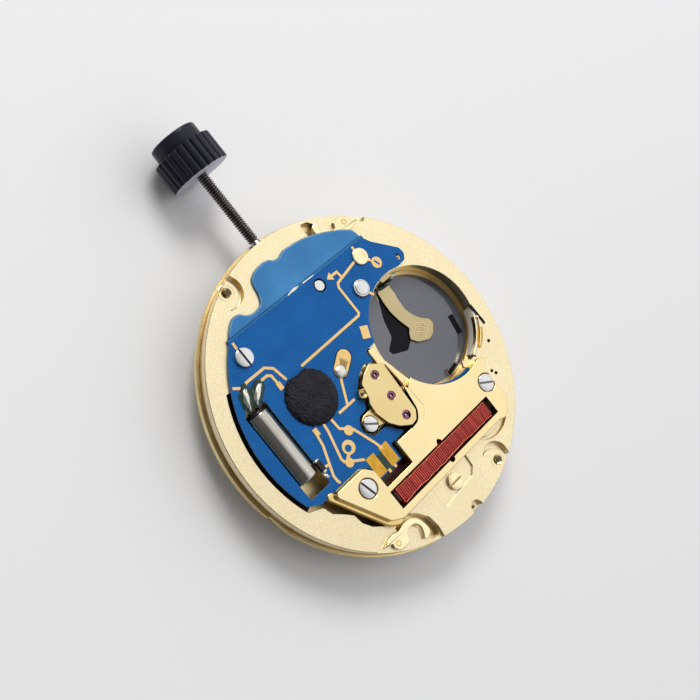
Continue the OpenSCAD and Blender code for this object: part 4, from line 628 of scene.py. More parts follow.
def plate_zone(centre, normal):
    """Blasted faces, turned rim, polished well and deeper pockets each have their own finish; on the rim, a
    pale band is a painted highlight, and the dark bands at its top edge and lower down are painted shade.
    """
    from_well = math.hypot(centre.x - WELL[0], centre.y - WELL[1])
    if normal.z > 0.9 and centre.z > 1.2:
        return BLASTED
    if math.hypot(centre.x, centre.y) > 12.5 and abs(normal.z) < 0.9:
        # Dark band at the top edge and lower down: painted shade; the pale band between them: painted
        # highlight.
        if centre.z > RIM_BANDS[2]:
            return RIM_SHADE
        if centre.z > RIM_BANDS[1]:
            return RIM_BAND
        return RIM_EDGE if centre.z > RIM_BANDS[0] or centre.z < 0.5 else RIM_SHADE
    if from_well < WELL_R + 0.06 and abs(normal.z) < 0.5 and centre.z > 0.4:
        return WELL_WALL
    return BLASTED if centre.z < 0.6 and normal.z < 0.2 else POCKET


def near_hook(spot):
    """The narrow ledges round the two hooks keep their sharp edges."""
    side = 1 if spot.x < 0 else -1
    return spot.z > 0.9 and -12.4 < side * spot.x < -8.9 and 3.1 < side * spot.y < 8.7


def make_plate():
    dress("main_plate", "plate_gold", ["blasted_gold", "pocket_gold", "well_gold", "edge_gold",
                                       "brown_gold_painted_shade", "pale_band_painted_highlight"],
          0.035, 2, plate_zone, cuts=RIM_BANDS, spare=near_hook)
    dress("screw_tubes", "plate_gold", ["turned_gold"], 0.0)
    sleeves = gather(place(thread(0.385, 0.31, 0.14, 7, inward=True), (x, y, 0.72)) for x, y in TAPPED_HOLES)
    add_piece("tapped_threads", sleeves, "plate_gold", ["turned_gold"], smooth=50, mend=False)
    lip = [(0.37, -0.16), (0.55, 0.004), (0.60, 0.012), (0.63, 0.0)]
    mouths = gather(turned(lip, (x, y, PLATE_TOP), 40) for x, y in TAPPED_HOLES)
    add_piece("tapped_mouths", mouths, "plate_gold", ["edge_gold"], smooth=30)


def near_slot(spot):
    """The slot over the coil keeps its sharp edges."""
    return -8.75 < spot.x < -6.75 and -7.2 < spot.y < 5.6


def bridge_zone(centre, normal):
    """Brushed top, polished inner edges in a darker gold that is painted shade, and dark walls inside the
    slot that are painted shade.
    """
    if abs(normal.z) < 0.5 and near_slot(centre):
        return 2
    return 1 if abs(normal.z) < 0.5 and math.hypot(centre.x, centre.y) < 9 and centre.x > -8.6 else 0


def make_bridges():
    dress("coil_bridge", "bridge_gold", ["bridge_gold", "bush_gold_and_painted_shade", "brown_gold_painted_shade"], 0.07, 3, bridge_zone,
          spare=near_slot)
    # The small bridge's walls take the darker gold: painted shade.
    dress("jewel_bridge", "bridge_gold", ["jewel_bridge_gold", "bush_gold_and_painted_shade"], 0.045, 3, wall_zone)


def make_bridge_aprons():
    """Edge of the large bridge close by the small one, and its polished lower step."""
    add_piece("bridge_apron", slab([
        (-2.0, -1.36, 0.02), (-2.2, -1.16, 0.02), (-3.98, -1.07, 0.3), (-4.68, -0.50, 0.3),
        (-4.74, 0.1, 0.1), (-4.77, 0.4, 0.02), (-5.05, -0.72, 0.02), (-4.25, -1.68, 0.02),
        (-2.4, -1.56, 0.02)], 1.9, 2.447), "bridge_gold", soften=0.03)
    # The lower step takes the darker gold: painted shade.
    add_piece("bridge_step", slab([
        (-4.1, 8.5, 0.05), (-4.05, 8.95, 0.2), (-4.4, 9.12, 0.25), (-8.85, 6.62, 0.4), (-9.4, 5.7, 0.4),
        (-9.2, 5.2, 0.05), (-8.9, 5.3, 0.05), (-8.4, 6.2, 0.05)], 1.72, 2.08, 6),
        "bridge_gold", ["bush_gold_and_painted_shade"], soften=0.11, rounds=4)


def make_jewels():
    """Pierced stones with a polished cup round the pivot, and a glint in each."""
    cup = [(0.08, 0), (0.335, 0), (0.335, 0.355), (0.315, 0.372), (0.225, 0.374), (0.205, 0.352),
           (0.17, 0.31), (0.12, 0.28), (0.08, 0.27), (0.08, 0)]
    stones = gather(turned(cup, (x, y, 2.05)) for x, y in JEWELS)
    add_piece("jewel_stones", stones, "ruby", ["ruby", "ruby_deep"], ("bridge_jewels",), 40,
              zone=lambda c, n: min(math.hypot(c.x - x, c.y - y) for x, y in JEWELS) < 0.2)
    rings = gather(turned([(0.15, 0), (0.165, 0.012), (0.18, 0)], (x, y, 2.355), 32) for x, y in JEWELS)
    add_piece("jewel_glints", rings, "ruby")


def make_bush():
    """Gold bush round a dark pin, at the edge of the small bridge."""
    spot = (-0.46, 1.72, 2.05)
    bush = turned([(0.13, 0), (0.38, 0), (0.38, 0.34), (0.35, 0.385), (0.30, 0.39), (0.20, 0.31),
                   (0.13, 0.30), (0.13, 0)], spot)
    add_piece("bush", bush, "bridge_gold", ["bush_gold_and_painted_shade"])
    pin = turned([(0, 0), (0.125, 0), (0.125, 0.33), (0.10, 0.36), (0.05, 0.365), (0, 0.35)], spot, 24)
    add_piece("bush_pin", pin, "ruby", ["ruby_deep"])


# Screws

HEAD_H = 0.25
SLOT_W = 0.16
SLOT_DEPTH = 0.13


def slotted_screw(head_d, slot_angle, shank_d, length):
    """Cheese-head screw whose head stands on z = 0."""
    r, shank_r = head_d / 2, shank_d / 2
    sill = HEAD_H - SLOT_DEPTH
    half = lathe([(0, sill), (r, sill), (r, HEAD_H - 0.05), (r - 0.015, HEAD_H - 0.018),
                  (r - 0.05, HEAD_H), (0, HEAD_H)], 56)
    cut_away(half, (0, SLOT_W / 2, 0), (0, 1, 0))
    other = place(half.copy(), turn=180)
    base = lathe([(0, 0), (r - 0.02, 0), (r, 0.02), (r, sill), (0, sill)], 56)
    shank = lathe([(0, -length), (shank_r - 0.06, -length), (shank_r, 0.06 - length), (shank_r, 0),
                   (0, 0)], 32)
    return place(join(half, other, base, shank), turn=slot_angle)


def slot_zone(heads):
    """Finish 1, a dark metal that is painted shade, for the faces inside a slot; heads are (x, y, radius,
    foot).
    """
    def zone(c, n):
        return any(math.hypot(c.x - x, c.y - y) < radius - 0.06
                   and foot + HEAD_H - 0.2 < c.z < foot + HEAD_H - 0.01 for x, y, radius, foot in heads)
    return zone


def make_screws():
    # The second finish darkens the faces inside the screw slots: painted shade.
    steel = ["screw_steel", "pivot_steel_and_slot_shade"]
    rows = ((-5.7, 6.25, 2.2, 15, 1.4), (-6.25, -7.45, 2.2, 60, 1.4), (*BOARD_SCREW, BOARD_TOP, 0, 1.1))
    bridge = gather(place(slotted_screw(1.4, slot, 0.7, length), (x, y, foot))
                    for x, y, foot, slot, length in rows)
    rivet = [(0, -1.1), (0.29, -1.1), (0.35, -1.04), (0.35, 0), (0.68, 0), (0.70, 0.02), (0.70, 0.13),
             (0.66, 0.19), (0.58, 0.2), (0.545, 0.235), (0.50, 0.25), (0, 0.255)]
    join(bridge, turned(rivet, (*BOARD_RIVET, BOARD_TOP), 56))
    add_piece("bridge_screw_set", bridge, "steel", steel, ("bridge_screws",), 30, 0.012,
              zone=slot_zone([(x, y, 0.7, foot) for x, y, foot, _, _ in rows]))
    for name, node, slot, finishes, at, foot, screw in (
            ("rim_screw_turned", "rim_screw", "plate_gold", ["lever_gold", "brown_gold_painted_shade"], RIM_SCREW, 1.61,
             (1.3, 90, 0.7, 0.8)),
            ("lug_screw_turned", "lug_screw", "steel", steel, LUG_SCREW, 2.02, (1.18, 55, 0.5, 1.0))):
        add_piece(name, place(slotted_screw(*screw), (*at, foot)), slot, finishes, (node,), 30, 0.012,
                  zone=slot_zone([(*at, screw[0] / 2, foot)]))


# Circuit

def make_board():
    dress("circuit_board", "board_blue", ["board_blue", "board_edge"], zone=wall_zone)
    dress("printed_tracks", "track_gold", ["track_gold", "amber_gold"], 0.008, 1,
          lambda c, n: -5.9 < c.x < -4.1 and 2.45 < c.y < 4.85)
    links = [slab([(-3.32, 5.72, 0), (-3.0, 5.3, 0), (-2.8, 5.5, 0), (-3.15, 5.95, 0)], BOARD_TOP, 2.028)]
    links += [strip(-6.1, y - 0.12, -5.8, y + 0.12, 0.03, 1.97, 2.02) for y in (3.74, 3.14)]
    add_piece("track_links", gather(links), "track_gold", soften=0.006)
    # Black sheet in the pocket beside the board's edge: painted shade.
    add_piece("pocket_painted_shade", arc_slab((0, 0), 10.85, 11.72, 43.5, 111.5, 1.14, 1.20, 40),
              "black_resin", ["black_liner_painted_shade_and_reflection"])
    sign = strip(-0.27, -0.075, 0.27, 0.075, 0.02, 0, 0.012)
    add_piece("minus_sign", place(sign, (6.25, -6.6, TRACK_TOP - 0.002), 20), "board_blue")
    field = turned([(0, 0), (0.27, 0), (0.27, 0.012), (0, 0.014)], (-2.68, 5.28, TRACK_TOP - 0.003), 40)
    add_piece("disc_field", field, "board_blue")
    add_piece("tongue_lacquer", slab([
        (-6.15, 3.4, 0.05), (-4.5, 3.4, 0.02), (-4.5, 3.9, 0.02), (-6.15, 3.9, 0.05)], 1.99, 2.012),
        "board_blue", ["green_lacquer"], soften=0.005)
    # Dark sheet on the stator in the gap by the tongue: painted shade.
    add_piece("gap_painted_shade", strip(-6.62, 1.85, -5.9, 4.75, 0.03, 1.25, 1.275), "black_resin",
              ["wire_dark_and_painted_shade"], soften=0.005)
    eyelet = turned([(0.08, 0), (0.16, 0), (0.16, 0.03), (0.08, 0.03), (0.08, 0)], (5.48, -8.5, 1.93), 20)
    add_piece("tip_eyelet", eyelet, "track_gold")


def make_capsule_pad():
    """Long pad, half gold and half under solder, in a thin dark groove."""
    a, b = Vector((1.87, 1.75)), Vector((2.45, 0.85))
    turn = math.degrees(math.atan2(b.y - a.y, b.x - a.x))
    half = 0.65
    outline = arc(((b - a).length, 0), half, -90, 90, 14) + arc((0, 0), half, 90, 270, 14)
    groove = place(slab([(x, y, 0) for x, y in outline], 2.0, 2.006), (a.x, a.y, 0), turn)
    add_piece("pad_groove", groove, "board_blue", ["black_liner_painted_shade_and_reflection"])
    drop = lump((1.80, 1.86, 2.035), (0.52, 0.50, 0.17), turn, 0.2, 4.0)
    add_piece("pad_solder", drop, "track_gold", ["solder"], smooth=60)


def make_dome():
    """Black resin poured over the chip, with a ragged edge and a pitted skin."""
    arch = [(DOME_R * math.cos(math.radians(a)) ** 0.42, DOME_H * math.sin(math.radians(a)))
            for a in range(0, 90, 9)]
    bm = lathe([(0, 0.0)] + arch + [(0, DOME_H)], 96)
    long_edges = [e for e in bm.edges if e.calc_length() > 0.12]
    bmesh.ops.subdivide_edges(bm, edges=long_edges, cuts=2, use_grid_fill=True)
    skirt = 1.4
    for v in bm.verts:
        if v.co.z > 0.005:
            spot = Vector((v.co.x, v.co.y, 0))
            v.co.z += 0.018 * noise.noise(spot * 2.2) + 0.012 * noise.noise(spot * 7.0)
        out = math.hypot(v.co.x, v.co.y)
        if out > skirt:
            angle = math.atan2(v.co.y, v.co.x)
            ragged = noise.noise(Vector((math.cos(angle) * 12, math.sin(angle) * 12, 2.0)))
            bite = max(0.0, 1 - ((math.degrees(angle) + 3) / 20) ** 2)
            grow = 1 + (out - skirt) / (DOME_R - skirt) * (0.045 * ragged - 0.008 - 0.12 * bite)
            v.co.x *= grow
            v.co.y *= grow
    add_piece("chip_resin", place(bm, (*DOME, BOARD_TOP)), "black_resin", (), ("chip_dome",), 80)


def make_stud():
    head = turned([(0, -0.15), (0.3, -0.15), (0.3, 0), (0.68, 0), (0.68, 0.09), (0.655, 0.135),
                   (0.60, 0.158), (0.42, 0.16), (0.37, 0.145), (0, 0.14)], (*CONTACT_STUD, BOARD_TOP), 56)
    add_piece("stud_head", head, "spring_gold", ["lever_gold"], ("contact_stud",))


def make_crystal():
    """Can of the quartz crystal in its slot, its leads, solder and lacquer."""
    r = 0.95
    can = lathe([(0, 0), (r - 0.22, 0), (r - 0.1, 0.03), (r - 0.02, 0.1), (r, 0.2), (r, 5.35), (r, 5.4),
                 (r - 0.02, 5.43), (r - 0.02, 5.62), (r, 5.66), (r, 5.74), (r - 0.03, 5.79),
                 (r - 0.1, 5.8), (0, 5.8)], 64)
    add_piece("crystal_shell", place(can, (-2.45, CAN_Y, CAN_Z), 90, "Y"), "can_steel", (),
              ("crystal_can",), 50)
    end = lathe([(0, 0), (0.75, 0), (0.75, 0.16), (0.66, 0.24), (0, 0.25)], 40)
    add_piece("crystal_end_seal", place(end, (3.35, CAN_Y, CAN_Z), 90, "Y"), "black_resin", ["chip_black"],
              ("crystal_seal",), 50)
    runs, tin, lacquer = [], [], []
    for side, (x1, y1), seed in ((1, (5.25, 8.72), 1.0), (-1, (4.85, 7.55), 3.0)):
        y = CAN_Y + side * 0.35
        top = 2.15
        runs.append(wire([(3.35, y, CAN_Z), (3.6, y, CAN_Z), (3.74, y, 1.56), (3.80, y, 1.72),
                          (3.82, y, 1.98), (3.9, y - 0.01, 2.10), (4.05, y - 0.04, top), (x1, y1, top)],
                         0.11, 4))
        turn = math.degrees(math.atan2(y1 - y, x1 - 3.95))
        middle = ((x1 + 4.05) / 2, (y1 + y) / 2)
        length = math.hypot(x1 - 4.0, y1 - y) / 2
        tin.append(lump((middle[0] + 0.08, middle[1], 2.12), (length, 0.24, 0.17), turn, 0.25, seed))
        lacquer.append(lump((middle[0] + 0.02, middle[1], 2.035), (length + 0.26, 0.46, 0.05), turn, 0.5,
                            seed + 5))
    add_piece("lead_wires", gather(runs), "steel", ["screw_steel"], ("crystal_leads",), 50)
    add_piece("lead_solder", gather(tin), "track_gold", ["solder"], smooth=70)
    add_piece("lead_lacquer", gather(lacquer), "board_blue", ["green_lacquer"], smooth=70)


def make_chip():
    chip = strip(-2.6, 7.72, -1.85, 8.14, 0.03, BOARD_TOP, 2.30)
    add_piece("chip_body", chip, "black_resin", ["chip_black"], ("chip_capacitor",), soften=0.04)
    tin = gather([lump((-2.72, 7.95, 2.07), (0.16, 0.24, 0.16), 10, 0.4, 2.0),
                  lump((-1.78, 7.9, 2.06), (0.12, 0.24, 0.14), 0, 0.4, 8.0),
                  lump((-3.05, 8.0, 2.04), (0.24, 0.16, 0.10), 35, 0.5, 6.0)])
    add_piece("chip_solder", tin, "track_gold", ["solder"], smooth=70)


def make_film():
    """Blue film over the winding work, with a pale soft skirt along its outer edge; the skirt's paleness is a
    painted highlight.
    """
    outline = [
        (8.52, 7.35, 0.05), (9.23, 6.66, 0.3), (9.66, 6.05, 0.25), (9.68, 5.4, 0.25), (9.16, 4.9, 0.2),
        (9.0, 4.3, 0.25), (9.15, 3.48, 0.25), (9.79, 3.14, 0.25), (10.47, 3.03, 0.2), (11.0, 2.84, 0.25),
        (11.36, 2.2, 0.3), (11.5, 1.25, 0.25), (11.38, 0.68, 0.15), (11.1, 0.36, 0.12),
        (11.07, -0.2, 0.15), (11.3, -0.7, 0.2), (11.27, -1.4, 0.4), (11.21, -2.25, 0.5),
        (10.99, -3.35, 0.5), (10.55, -4.55, 0.6), (9.86, -6.05, 0.5), (9.3, -6.82, 0.3),
        (8.52, -6.95, 0.05)]
    sheet = slab(outline, PLATE_TOP, 1.955, 5)
    # The edge faces and outer walls take the paler blue: painted highlight.
    add_piece("film_sheet", sheet, "film_blue", ["film_blue", "film_edge_painted_highlight"], ("cover_film",), 40, 0.13, 4,
              lambda c, n: abs(n.z) < 0.5 and c.x > 8.6, 1)
    add_piece("joint_shade", slab([
        (8.36, 7.5, 0), (8.62, 7.4, 0), (8.62, -7.0, 0), (8.36, -7.1, 0)], 1.8, 1.972),
        "board_blue", ["shade_blue"], soften=0.01)
    slits = gather([slab([(8.40, 1.42, 0.01), (8.52, 1.30, 0.02), (8.66, 0.55, 0.04), (8.56, 0.0, 0.03),
                          (8.44, 0.42, 0.02)], 1.93, 1.99),
                    slab([(8.45, -0.25, 0.01), (8.56, -0.35, 0.02), (8.53, -1.35, 0.02),
                          (8.44, -1.62, 0.01)], 1.93, 1.985)])
    add_piece("slit_metal", slits, "steel", ["solder"], soften=0.01)


# Coil

def make_coil():
    """Fine winding of close turns over its inner layers, with raised turns at both edges in a brighter red
    that is a painted highlight.
    """
    turns, ring = 60, 20
    width, height, length, corner = 1.21, 1.19, 10.72, 0.22
    x0, y0, z0 = COIL
    path = []
    for k in range(turns * ring + 1):
        share = k / ring
        angle = math.tau * (share % 1.0)
        sx, sz = ((1, 1), (-1, 1), (-1, -1), (1, -1))[int((share % 1.0) * 4) % 4]
        sway = (0.016 * noise.noise(Vector((share * 0.23, 3.0, 0)))
                + 0.008 * noise.noise(Vector((share * 0.9, 9.0, 0))))
        path.append((x0 + sx * (width / 2 - corner + sway) + corner * math.cos(angle),
                     y0 - length / 2 + length * share / turns,
                     z0 + sz * (height / 2 - corner) + corner * math.sin(angle)))
    add_piece("winding_turns", wire(path, 0.080), "wire_red", (), ("coil_winding",), 60)
    ends = gather(strip(-8.5, y1, -7.0, y2, 0.05, 0.98, 1.42) for y1, y2 in ((-6.72, -6.22), (4.66, 5.2)))
    add_piece("winding_cheeks", ends, "black_resin", ["wire_dark_and_painted_shade"], soften=0.03)
    edge = []
    for k in range(121):
        share = k / 120
        edge.append((x0 + 0.55 + 0.05 * noise.noise(Vector((share * 16, 1.5, 0))),
                     y0 - length / 2 + 0.1 + (length - 0.2) * share,
                     2.285 + 0.02 * noise.noise(Vector((share * 18, 6.5, 0)))))
    other = [(2 * x0 - x - 0.02 + 0.06 * noise.noise(Vector((y * 1.7, 4.5, 0))), y, z) for x, y, z in edge]
    # The edge strands take the brighter red: painted highlight.
    strands = join(wire(edge, 0.032), wire(other, 0.046))
    add_piece("edge_strands", strands, "wire_red", ["wire_edge_painted_highlight"], smooth=60)


# Cell well

def make_well():
    dress("cell_foil", "foil_grey", soften=0.01, rounds=1)
    # Black sheet on the foil under the contact: a painted reflection of the contact in the glossy foil.
    add_piece("black_liner_painted_shade_and_reflection", slab([
        (4.31, -5.93, 0.05), (2.56, -4.88, 0.5), (1.04, -4.47, 0.2), (0.37, -3.48, 0.08),
        (-0.03, -3.6, 0.08), (-0.57, -4.92, 0.1), (-0.1, -5.7, 0.1), (0.3, -6.1, 0.1),
        (3.9, -6.3, 0.1)], FOIL_TOP - 0.02, FOIL_TOP + 0.006, 6), "foil_grey", ["black_liner_painted_shade_and_reflection"])
    marks = gather(place(strip(-w, -h, w, h, 0.03, FOIL_TOP - 0.02, FOIL_TOP + 0.004), (x, y, 0), turn)
                   for x, y, turn, w, h in ((-1.55, -9.93, 170, 0.825, 0.26), (-3.98, -7.1, 101, 0.55, 0.15)))
    add_piece("foil_marks", marks, "foil_grey", ["black_liner_painted_shade_and_reflection"])
    dress("cell_contact", "spring_gold")
    add_piece("contact_blade", slab([
        (4.35, -5.85, 0.05), (3.42, -5.72, 0.1), (2.56, -5.68, 0.15), (1.57, -5.86, 0.15),
        (0.66, -6.16, 0.1), (0.36, -5.84, 0.1), (-0.06, -5.60, 0.12), (-0.62, -6.06, 0.16),
        (-1.04, -7.02, 0.14), (-0.90, -7.60, 0.12), (-0.27, -8.26, 0.16), (0.20, -8.20, 0.12),
        (0.60, -7.72, 0.1), (0.95, -7.40, 0.1), (1.44, -7.13, 0.15), (2.49, -6.80, 0.15),
        (3.3, -7.1, 0.15), (4.35, -7.12, 0.05)], 0.60, 0.645, 5), "spring_gold", soften=0.02)
    make_diamond_tip()
    make_clamp()
    add_piece("board_skirt", arc_slab(WELL, 4.74, 4.9, 118, 196, 1.752, 1.86), "board_blue", soften=0.02)
    root = gather([lump((4.55, -6.9, 1.15), (0.14, 0.42, 0.55), -4, 0.3, 2.0),
                   slab([(4.64, -5.93, 0.06), (4.76, -6.85, 0.1), (4.22, -7.12, 0.12),
                         (4.30, -6.15, 0.12)], 0.60, 0.685)])
    add_piece("root_lacquer", root, "board_blue", ["green_lacquer"], smooth=70)
    drop = lump((4.66, -7.15, 1.60), (0.17, 0.36, 0.24), 8, 0.5, 5.0)
    add_piece("root_solder", drop, "track_gold", ["solder"], smooth=70)


def make_clamp():
    """Clamp spring at the well's edge, with its pale band, cover, slit, leaf and foot; the band's pale colour
    is a painted highlight.
    """
    # The clamp's outer walls take the darker gold: painted shade.
    dress("cell_clamp", "spring_gold", ["lever_gold", "bush_gold_and_painted_shade"], 0.015, 2,
          lambda c, n: n.z < 0.5 and math.hypot(c.x - WELL[0], c.y - WELL[1]) > 4.9)
    band = ring_part([(4.52, 0.96), (4.60, 1.35), (4.76, 1.70), (4.84, 1.735), (4.90, 1.735),
                      (4.90, 0.96), (4.52, 0.96)], WELL, 204, 252)
    add_piece("clamp_band", band, "spring_gold", ["clamp_white_painted_highlight"], smooth=50)
    add_piece("clamp_cover", arc_slab(WELL, 4.93, 5.62, 204, 249, 1.66, 1.754, 24), "plate_gold",
              ["blasted_gold"], soften=0.015)
    add_piece("clamp_slit", slab([
        (-1.03, -11.42, 0.04), (-2.9, -11.47, 0.04), (-2.96, -11.2, 0.04), (-1.08, -11.15, 0.04)],
        1.7, 1.757), "plate_gold", ["black_liner_painted_shade_and_reflection"])
    add_piece("clamp_leaf", slab([
        (-2.72, -10.6, 0.06), (-3.0, -10.98, 0.04), (-3.78, -10.2, 0.1), (-4.12, -9.6, 0.04),
        (-4.0, -9.3, 0.06), (-3.47, -9.8, 0.1)], 1.7, 1.759), "spring_gold", ["amber_gold"], soften=0.015)
    add_piece("clamp_foot", slab([
        (-3.78, -7.3, 0.1), (-4.28, -6.98, 0.15), (-5.35, -8.45, 0.2), (-5.15, -9.15, 0.2),
        (-4.85, -9.2, 0.1)], 1.68, 1.87), "spring_gold", ["bridge_gold"], soften=0.05, rounds=3)


def make_diamond_tip():
    """Embossed lozenge with ribs on the contact's tip."""
    corners = [(0.66, -6.95), (-0.02, -6.02), (-0.74, -6.9), (-0.02, -7.86)]
    low, high = BLADE_TOP, BLADE_TOP + 0.02
    ribs = [wire([(x, y, low + 0.005) for x, y in corners], 0.035, cyclic=True)]
    for k in range(5):
        share = 0.16 + 0.17 * k
        a = Vector(corners[0]).lerp(Vector(corners[1]), share)
        b = Vector(corners[3]).lerp(Vector(corners[2]), share)
        if k % 2:
            ribs.append(wire([(*a.lerp(b, 0.1), low), (*a.lerp(b, 0.5), high), (*a.lerp(b, 0.9), low)], 0.04))
        else:
            ribs.append(wire([(*a.lerp(b, 0.12), low), (*a.lerp(b, 0.4), high)], 0.045))
            ribs.append(wire([(*a.lerp(b, 0.6), high), (*a.lerp(b, 0.88), low)], 0.045))
    add_piece("tip_emboss", gather(ribs), "spring_gold", ["bridge_gold"], smooth=60)


# Levers, stem and crown

HOOK_OUTLINE = [
    (-9.76, 7.84, 0.08), (-9.5, 7.2, 0.3), (-9.45, 6.6, 0.3), (-9.62, 6.1, 0.3), (-9.38, 5.3, 0.5),
    (-9.6, 4.5, 0.4), (-10.4, 4.02, 0.5), (-11.3, 4.02, 0.3), (-11.55, 4.6, 0.1), (-11.32, 4.85, 0.05),
    (-11.05, 4.62, 0.2), (-10.5, 4.45, 0.3), (-10.05, 4.7, 0.3), (-9.95, 5.35, 0.3), (-10.3, 5.78, 0.3),
    (-10.75, 5.9, 0.15), (-10.72, 6.9, 0.3), (-10.2, 7.25, 0.3), (-9.95, 7.1, 0.1)]


def make_levers():
    for side, turn in (("a", 0), ("b", 180)):
        blank = place(slab(HOOK_OUTLINE, 1.51, PLATE_TOP, 8), turn=turn)
        add_piece(f"hooked_lever_{side}", blank, "plate_gold", ["lever_gold"],
                  (f"dial_foot_lever_{side}",), 50, 0.05, 3, body=f"foot_lever_{side}")
    head = [(0, -0.2), (0.18, -0.2), (0.18, 0), (0.265, 0), (0.265, 0.235), (0.24, 0.265), (0.13, 0.27),
            (0.11, 0.235), (0, 0.225)]
    rivets = []
    for x, y in LEVER_PIVOTS:
        rivets.append(turned(head, (x, y, 1.49), 36))
        rivets.append(turned([(0, 0), (0.178, 0), (0.178, 0.9), (0, 0.9)], (x, y, 0.6), 24))
    add_piece("lever_rivets", gather(rivets), "plate_gold", ["bush_gold_and_painted_shade"], ("lever_pivots",))


def make_stem():
    """Winding stem with its long thread, and the parts of it inside the plate; the thread's crests are a
    paler steel, a painted highlight, and the rest of the thread a dark steel, painted shade.
    """
    root = 13.1
    bar = bmesh.new()
    bmesh.ops.create_cube(bar, size=1.0)
    bmesh.ops.scale(bar, vec=(0.36, 0.36, 2.3), verts=bar.verts)
    shaft = join(
        lathe([(0, root), (0.33, root), (0.33, 21.1), (0, 21.1)], 32),
        place(thread(0.34, 0.45, 0.195, 40), (0, 0, root)),
        lathe([(0, 7.35), (0.4, 7.35), (0.4, root - 0.05), (0.36, root), (0, root)], 40),
        lathe([(0, 6.72), (0.4, 6.72), (0.4, 6.99), (0.22, 6.99), (0.22, 7.35), (0, 7.35)], 32),
        lathe([(0, 3.45), (0.17, 3.45), (0.2, 3.5), (0.2, 4.1), (0.175, 4.12), (0.175, 4.75), (0, 4.75)], 24),
        place(bar, (0, 0, 5.75)))
    # Crests take the paler steel as a painted highlight; the rest of the thread takes the dark steel as
    # painted shade.
    add_piece("stem_turned", place(shaft, (0, 0, STEM_Z), 90, "Y"), "steel", ["stem_steel_root_shade", "steel_and_crest_highlight"],
              ("winding_stem",), 40, body="stem", mend=False,
              zone=lambda c, n: c.x < root or math.hypot(c.y, c.z - STEM_Z) > 0.40)


def make_crown():
    """Push-on crown with round ribs and a smooth top that is hollowed at its end."""
    ribs, per_rib, r, height = 24, 10, 2.4, 2.3
    bm = bmesh.new()
    ring = bmesh.ops.create_circle(bm, cap_ends=False, radius=r, segments=ribs * per_rib)["verts"]
    for v in ring:
        angle = math.atan2(v.co.y, v.co.x) * ribs
        rib = abs(math.cos(angle / 2)) ** 0.38
        v.co *= (r - 0.18 * (1 - rib)) / r
    edges = bm.edges[:]
    for depth, shrink in ((0.05, 1.0), (0.08, 1.0), (2.04, 1.0), (0.08, 1.0), (0.05, 0.97)):
        grown = bmesh.ops.extrude_edge_only(bm, edges=edges)["geom"]
        verts, edges = picked(grown), picked(grown, bmesh.types.BMEdge)
        bmesh.ops.translate(bm, vec=(0, 0, depth), verts=verts)
        bmesh.ops.scale(bm, vec=(shrink, shrink, 1), verts=verts)
    bmesh.ops.scale(bm, vec=(0.975, 0.975, 1), verts=[v for v in bm.verts if v.co.z < 0.01])
    for z, inner in ((0.0, 0.46), (height, 1.9)):
        rim = [e for e in bm.edges if e.is_boundary and all(abs(v.co.z - z) < 0.02 for v in e.verts)]
        for v in picked(bmesh.ops.extrude_edge_only(bm, edges=rim)["geom"]):
            out = math.hypot(v.co.x, v.co.y)
            v.co.x *= inner / out
            v.co.y *= inner / out
    top = lathe([(1.9, height), (1.915, 2.32), (1.925, 2.36), (1.925, 3.27), (1.905, 3.36), (1.86, 3.42),
                 (1.78, 3.45), (1.52, 3.45), (1.45, 3.42), (1.425, 3.36), (1.425, 3.24), (1.38, 3.2),
                 (0, 3.2)], 96)
    join(bm, top, lathe([(0.46, 0.0), (0.455, 0.02), (0.455, 1.9), (0, 1.92)], 40))
    weld(bm)
    # The back face toward the movement is pale: a painted reflection.
    add_piece("crown_knurled", place(bm, (CROWN_X, 0, STEM_Z), 90, "Y"), "black_plastic",
              ["black_plastic", "crown_back_painted_reflection"], ("crown",), 48, body="stem",
              zone=lambda c, n: c.x < CROWN_X + 0.07 and n.x < -0.8)


def make_release_pin():
    """Head of the setting lever's pin in its hole in the board."""
    dress("setting_lever", "steel", ["screw_steel"], 0.03, 2)
    # Black lining of the hole round the pin's head: painted shade.
    wall = turned([(0.5, 0), (0.5, 0.16), (0.52, 0.162), (0.53, 0.15)], (7.6, -1.35, 1.85), 40)
    add_piece("pin_hole_painted_shade", wall, "board_blue", ["black_liner_painted_shade_and_reflection"], smooth=60)


# Dial side

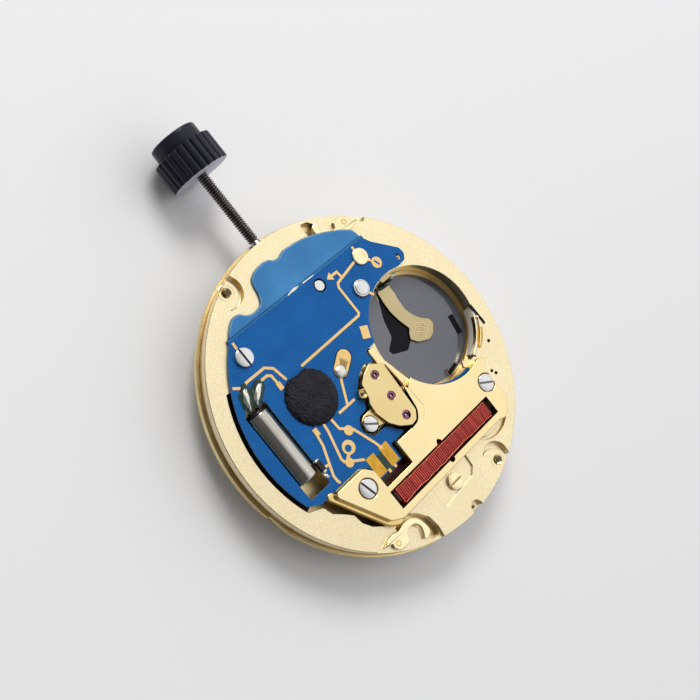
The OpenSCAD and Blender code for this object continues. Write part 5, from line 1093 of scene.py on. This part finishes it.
DAYS = 31
DIAL_SIDE = (
    ("date_guard_plate", "dial_silver", "guard_steel", 0.012, 1),
    ("dial_side_screws", "steel", "screw_steel", 0.015, 2),
    ("hour_wheel", "wheel_brass", "wheel_brass", 0.012, 1),
    ("cannon_pinion", "steel", "screw_steel", 0.012, 1),
    ("seconds_wheel", "wheel_brass", "wheel_brass", 0.008, 1),
    ("minute_wheel", "wheel_brass", "wheel_brass", 0.008, 1),
    ("date_jumper", "steel", "screw_steel", 0.01, 1))


def date_figure(day):
    """Plain number of a day, as it stands on the ring when seen from the dial side."""
    text = bpy.data.curves.new("figure", "FONT")
    text.body = str(day)
    text.size = 1.35
    text.align_x = "CENTER"
    text.align_y = "CENTER"
    text.resolution_u = 3
    bm = raise_faces(shape_of(text), 0.008)
    bmesh.ops.scale(bm, vec=(-0.82, 1, 1), verts=bm.verts)
    place(bm, (0, 10.35, 0.112))
    return place(bm, turn=-180 + 360 * (day - 1) / DAYS)


def make_dial_side():
    dress("date_ring", "dial_silver", ["ring_white"], 0.01, 1)
    figures = gather(date_figure(day) for day in range(1, DAYS + 1))
    add_piece("date_figures", figures, "dial_silver", ["number_black"], smooth=30, body="date")
    for node, slot, finish, soften, rounds in DIAL_SIDE:
        dress(node, slot, [finish], soften, rounds)


INNER_PARTS = {
    "ruby": ("plate_jewels",),
    "soft_iron": ("coil_core", "stator"),
    "wire_dark_and_painted_shade": ("coil_layers",),
    "pivot_steel_and_slot_shade": ("rotor_magnet",),
    "screw_steel": ("rotor_arbor", "setting_wheel", "sliding_pinion", "yoke", "lever_spring"),
    "wheel_brass": ("intermediate_wheel", "third_wheel", "centre_wheel", "date_idler",
                    "date_driving_wheel"),
}


def finish_inner_parts():
    for finish, nodes in INNER_PARTS.items():
        for node in nodes:
            slots = frame["nodes"][node].data.materials
            slots.clear()
            slots.append(FINISHES[finish])


for make in (point_camera, light_studio, lay_floor, make_plate, make_bridges, make_bridge_aprons,
             make_jewels, make_bush, make_screws, make_board, make_capsule_pad, make_dome, make_stud,
             make_crystal, make_chip, make_film, make_coil, make_well, make_levers, make_stem, make_crown,
             make_release_pin, make_dial_side, finish_inner_parts):
    make()

bpy.context.scene.view_settings.view_transform = "Standard"
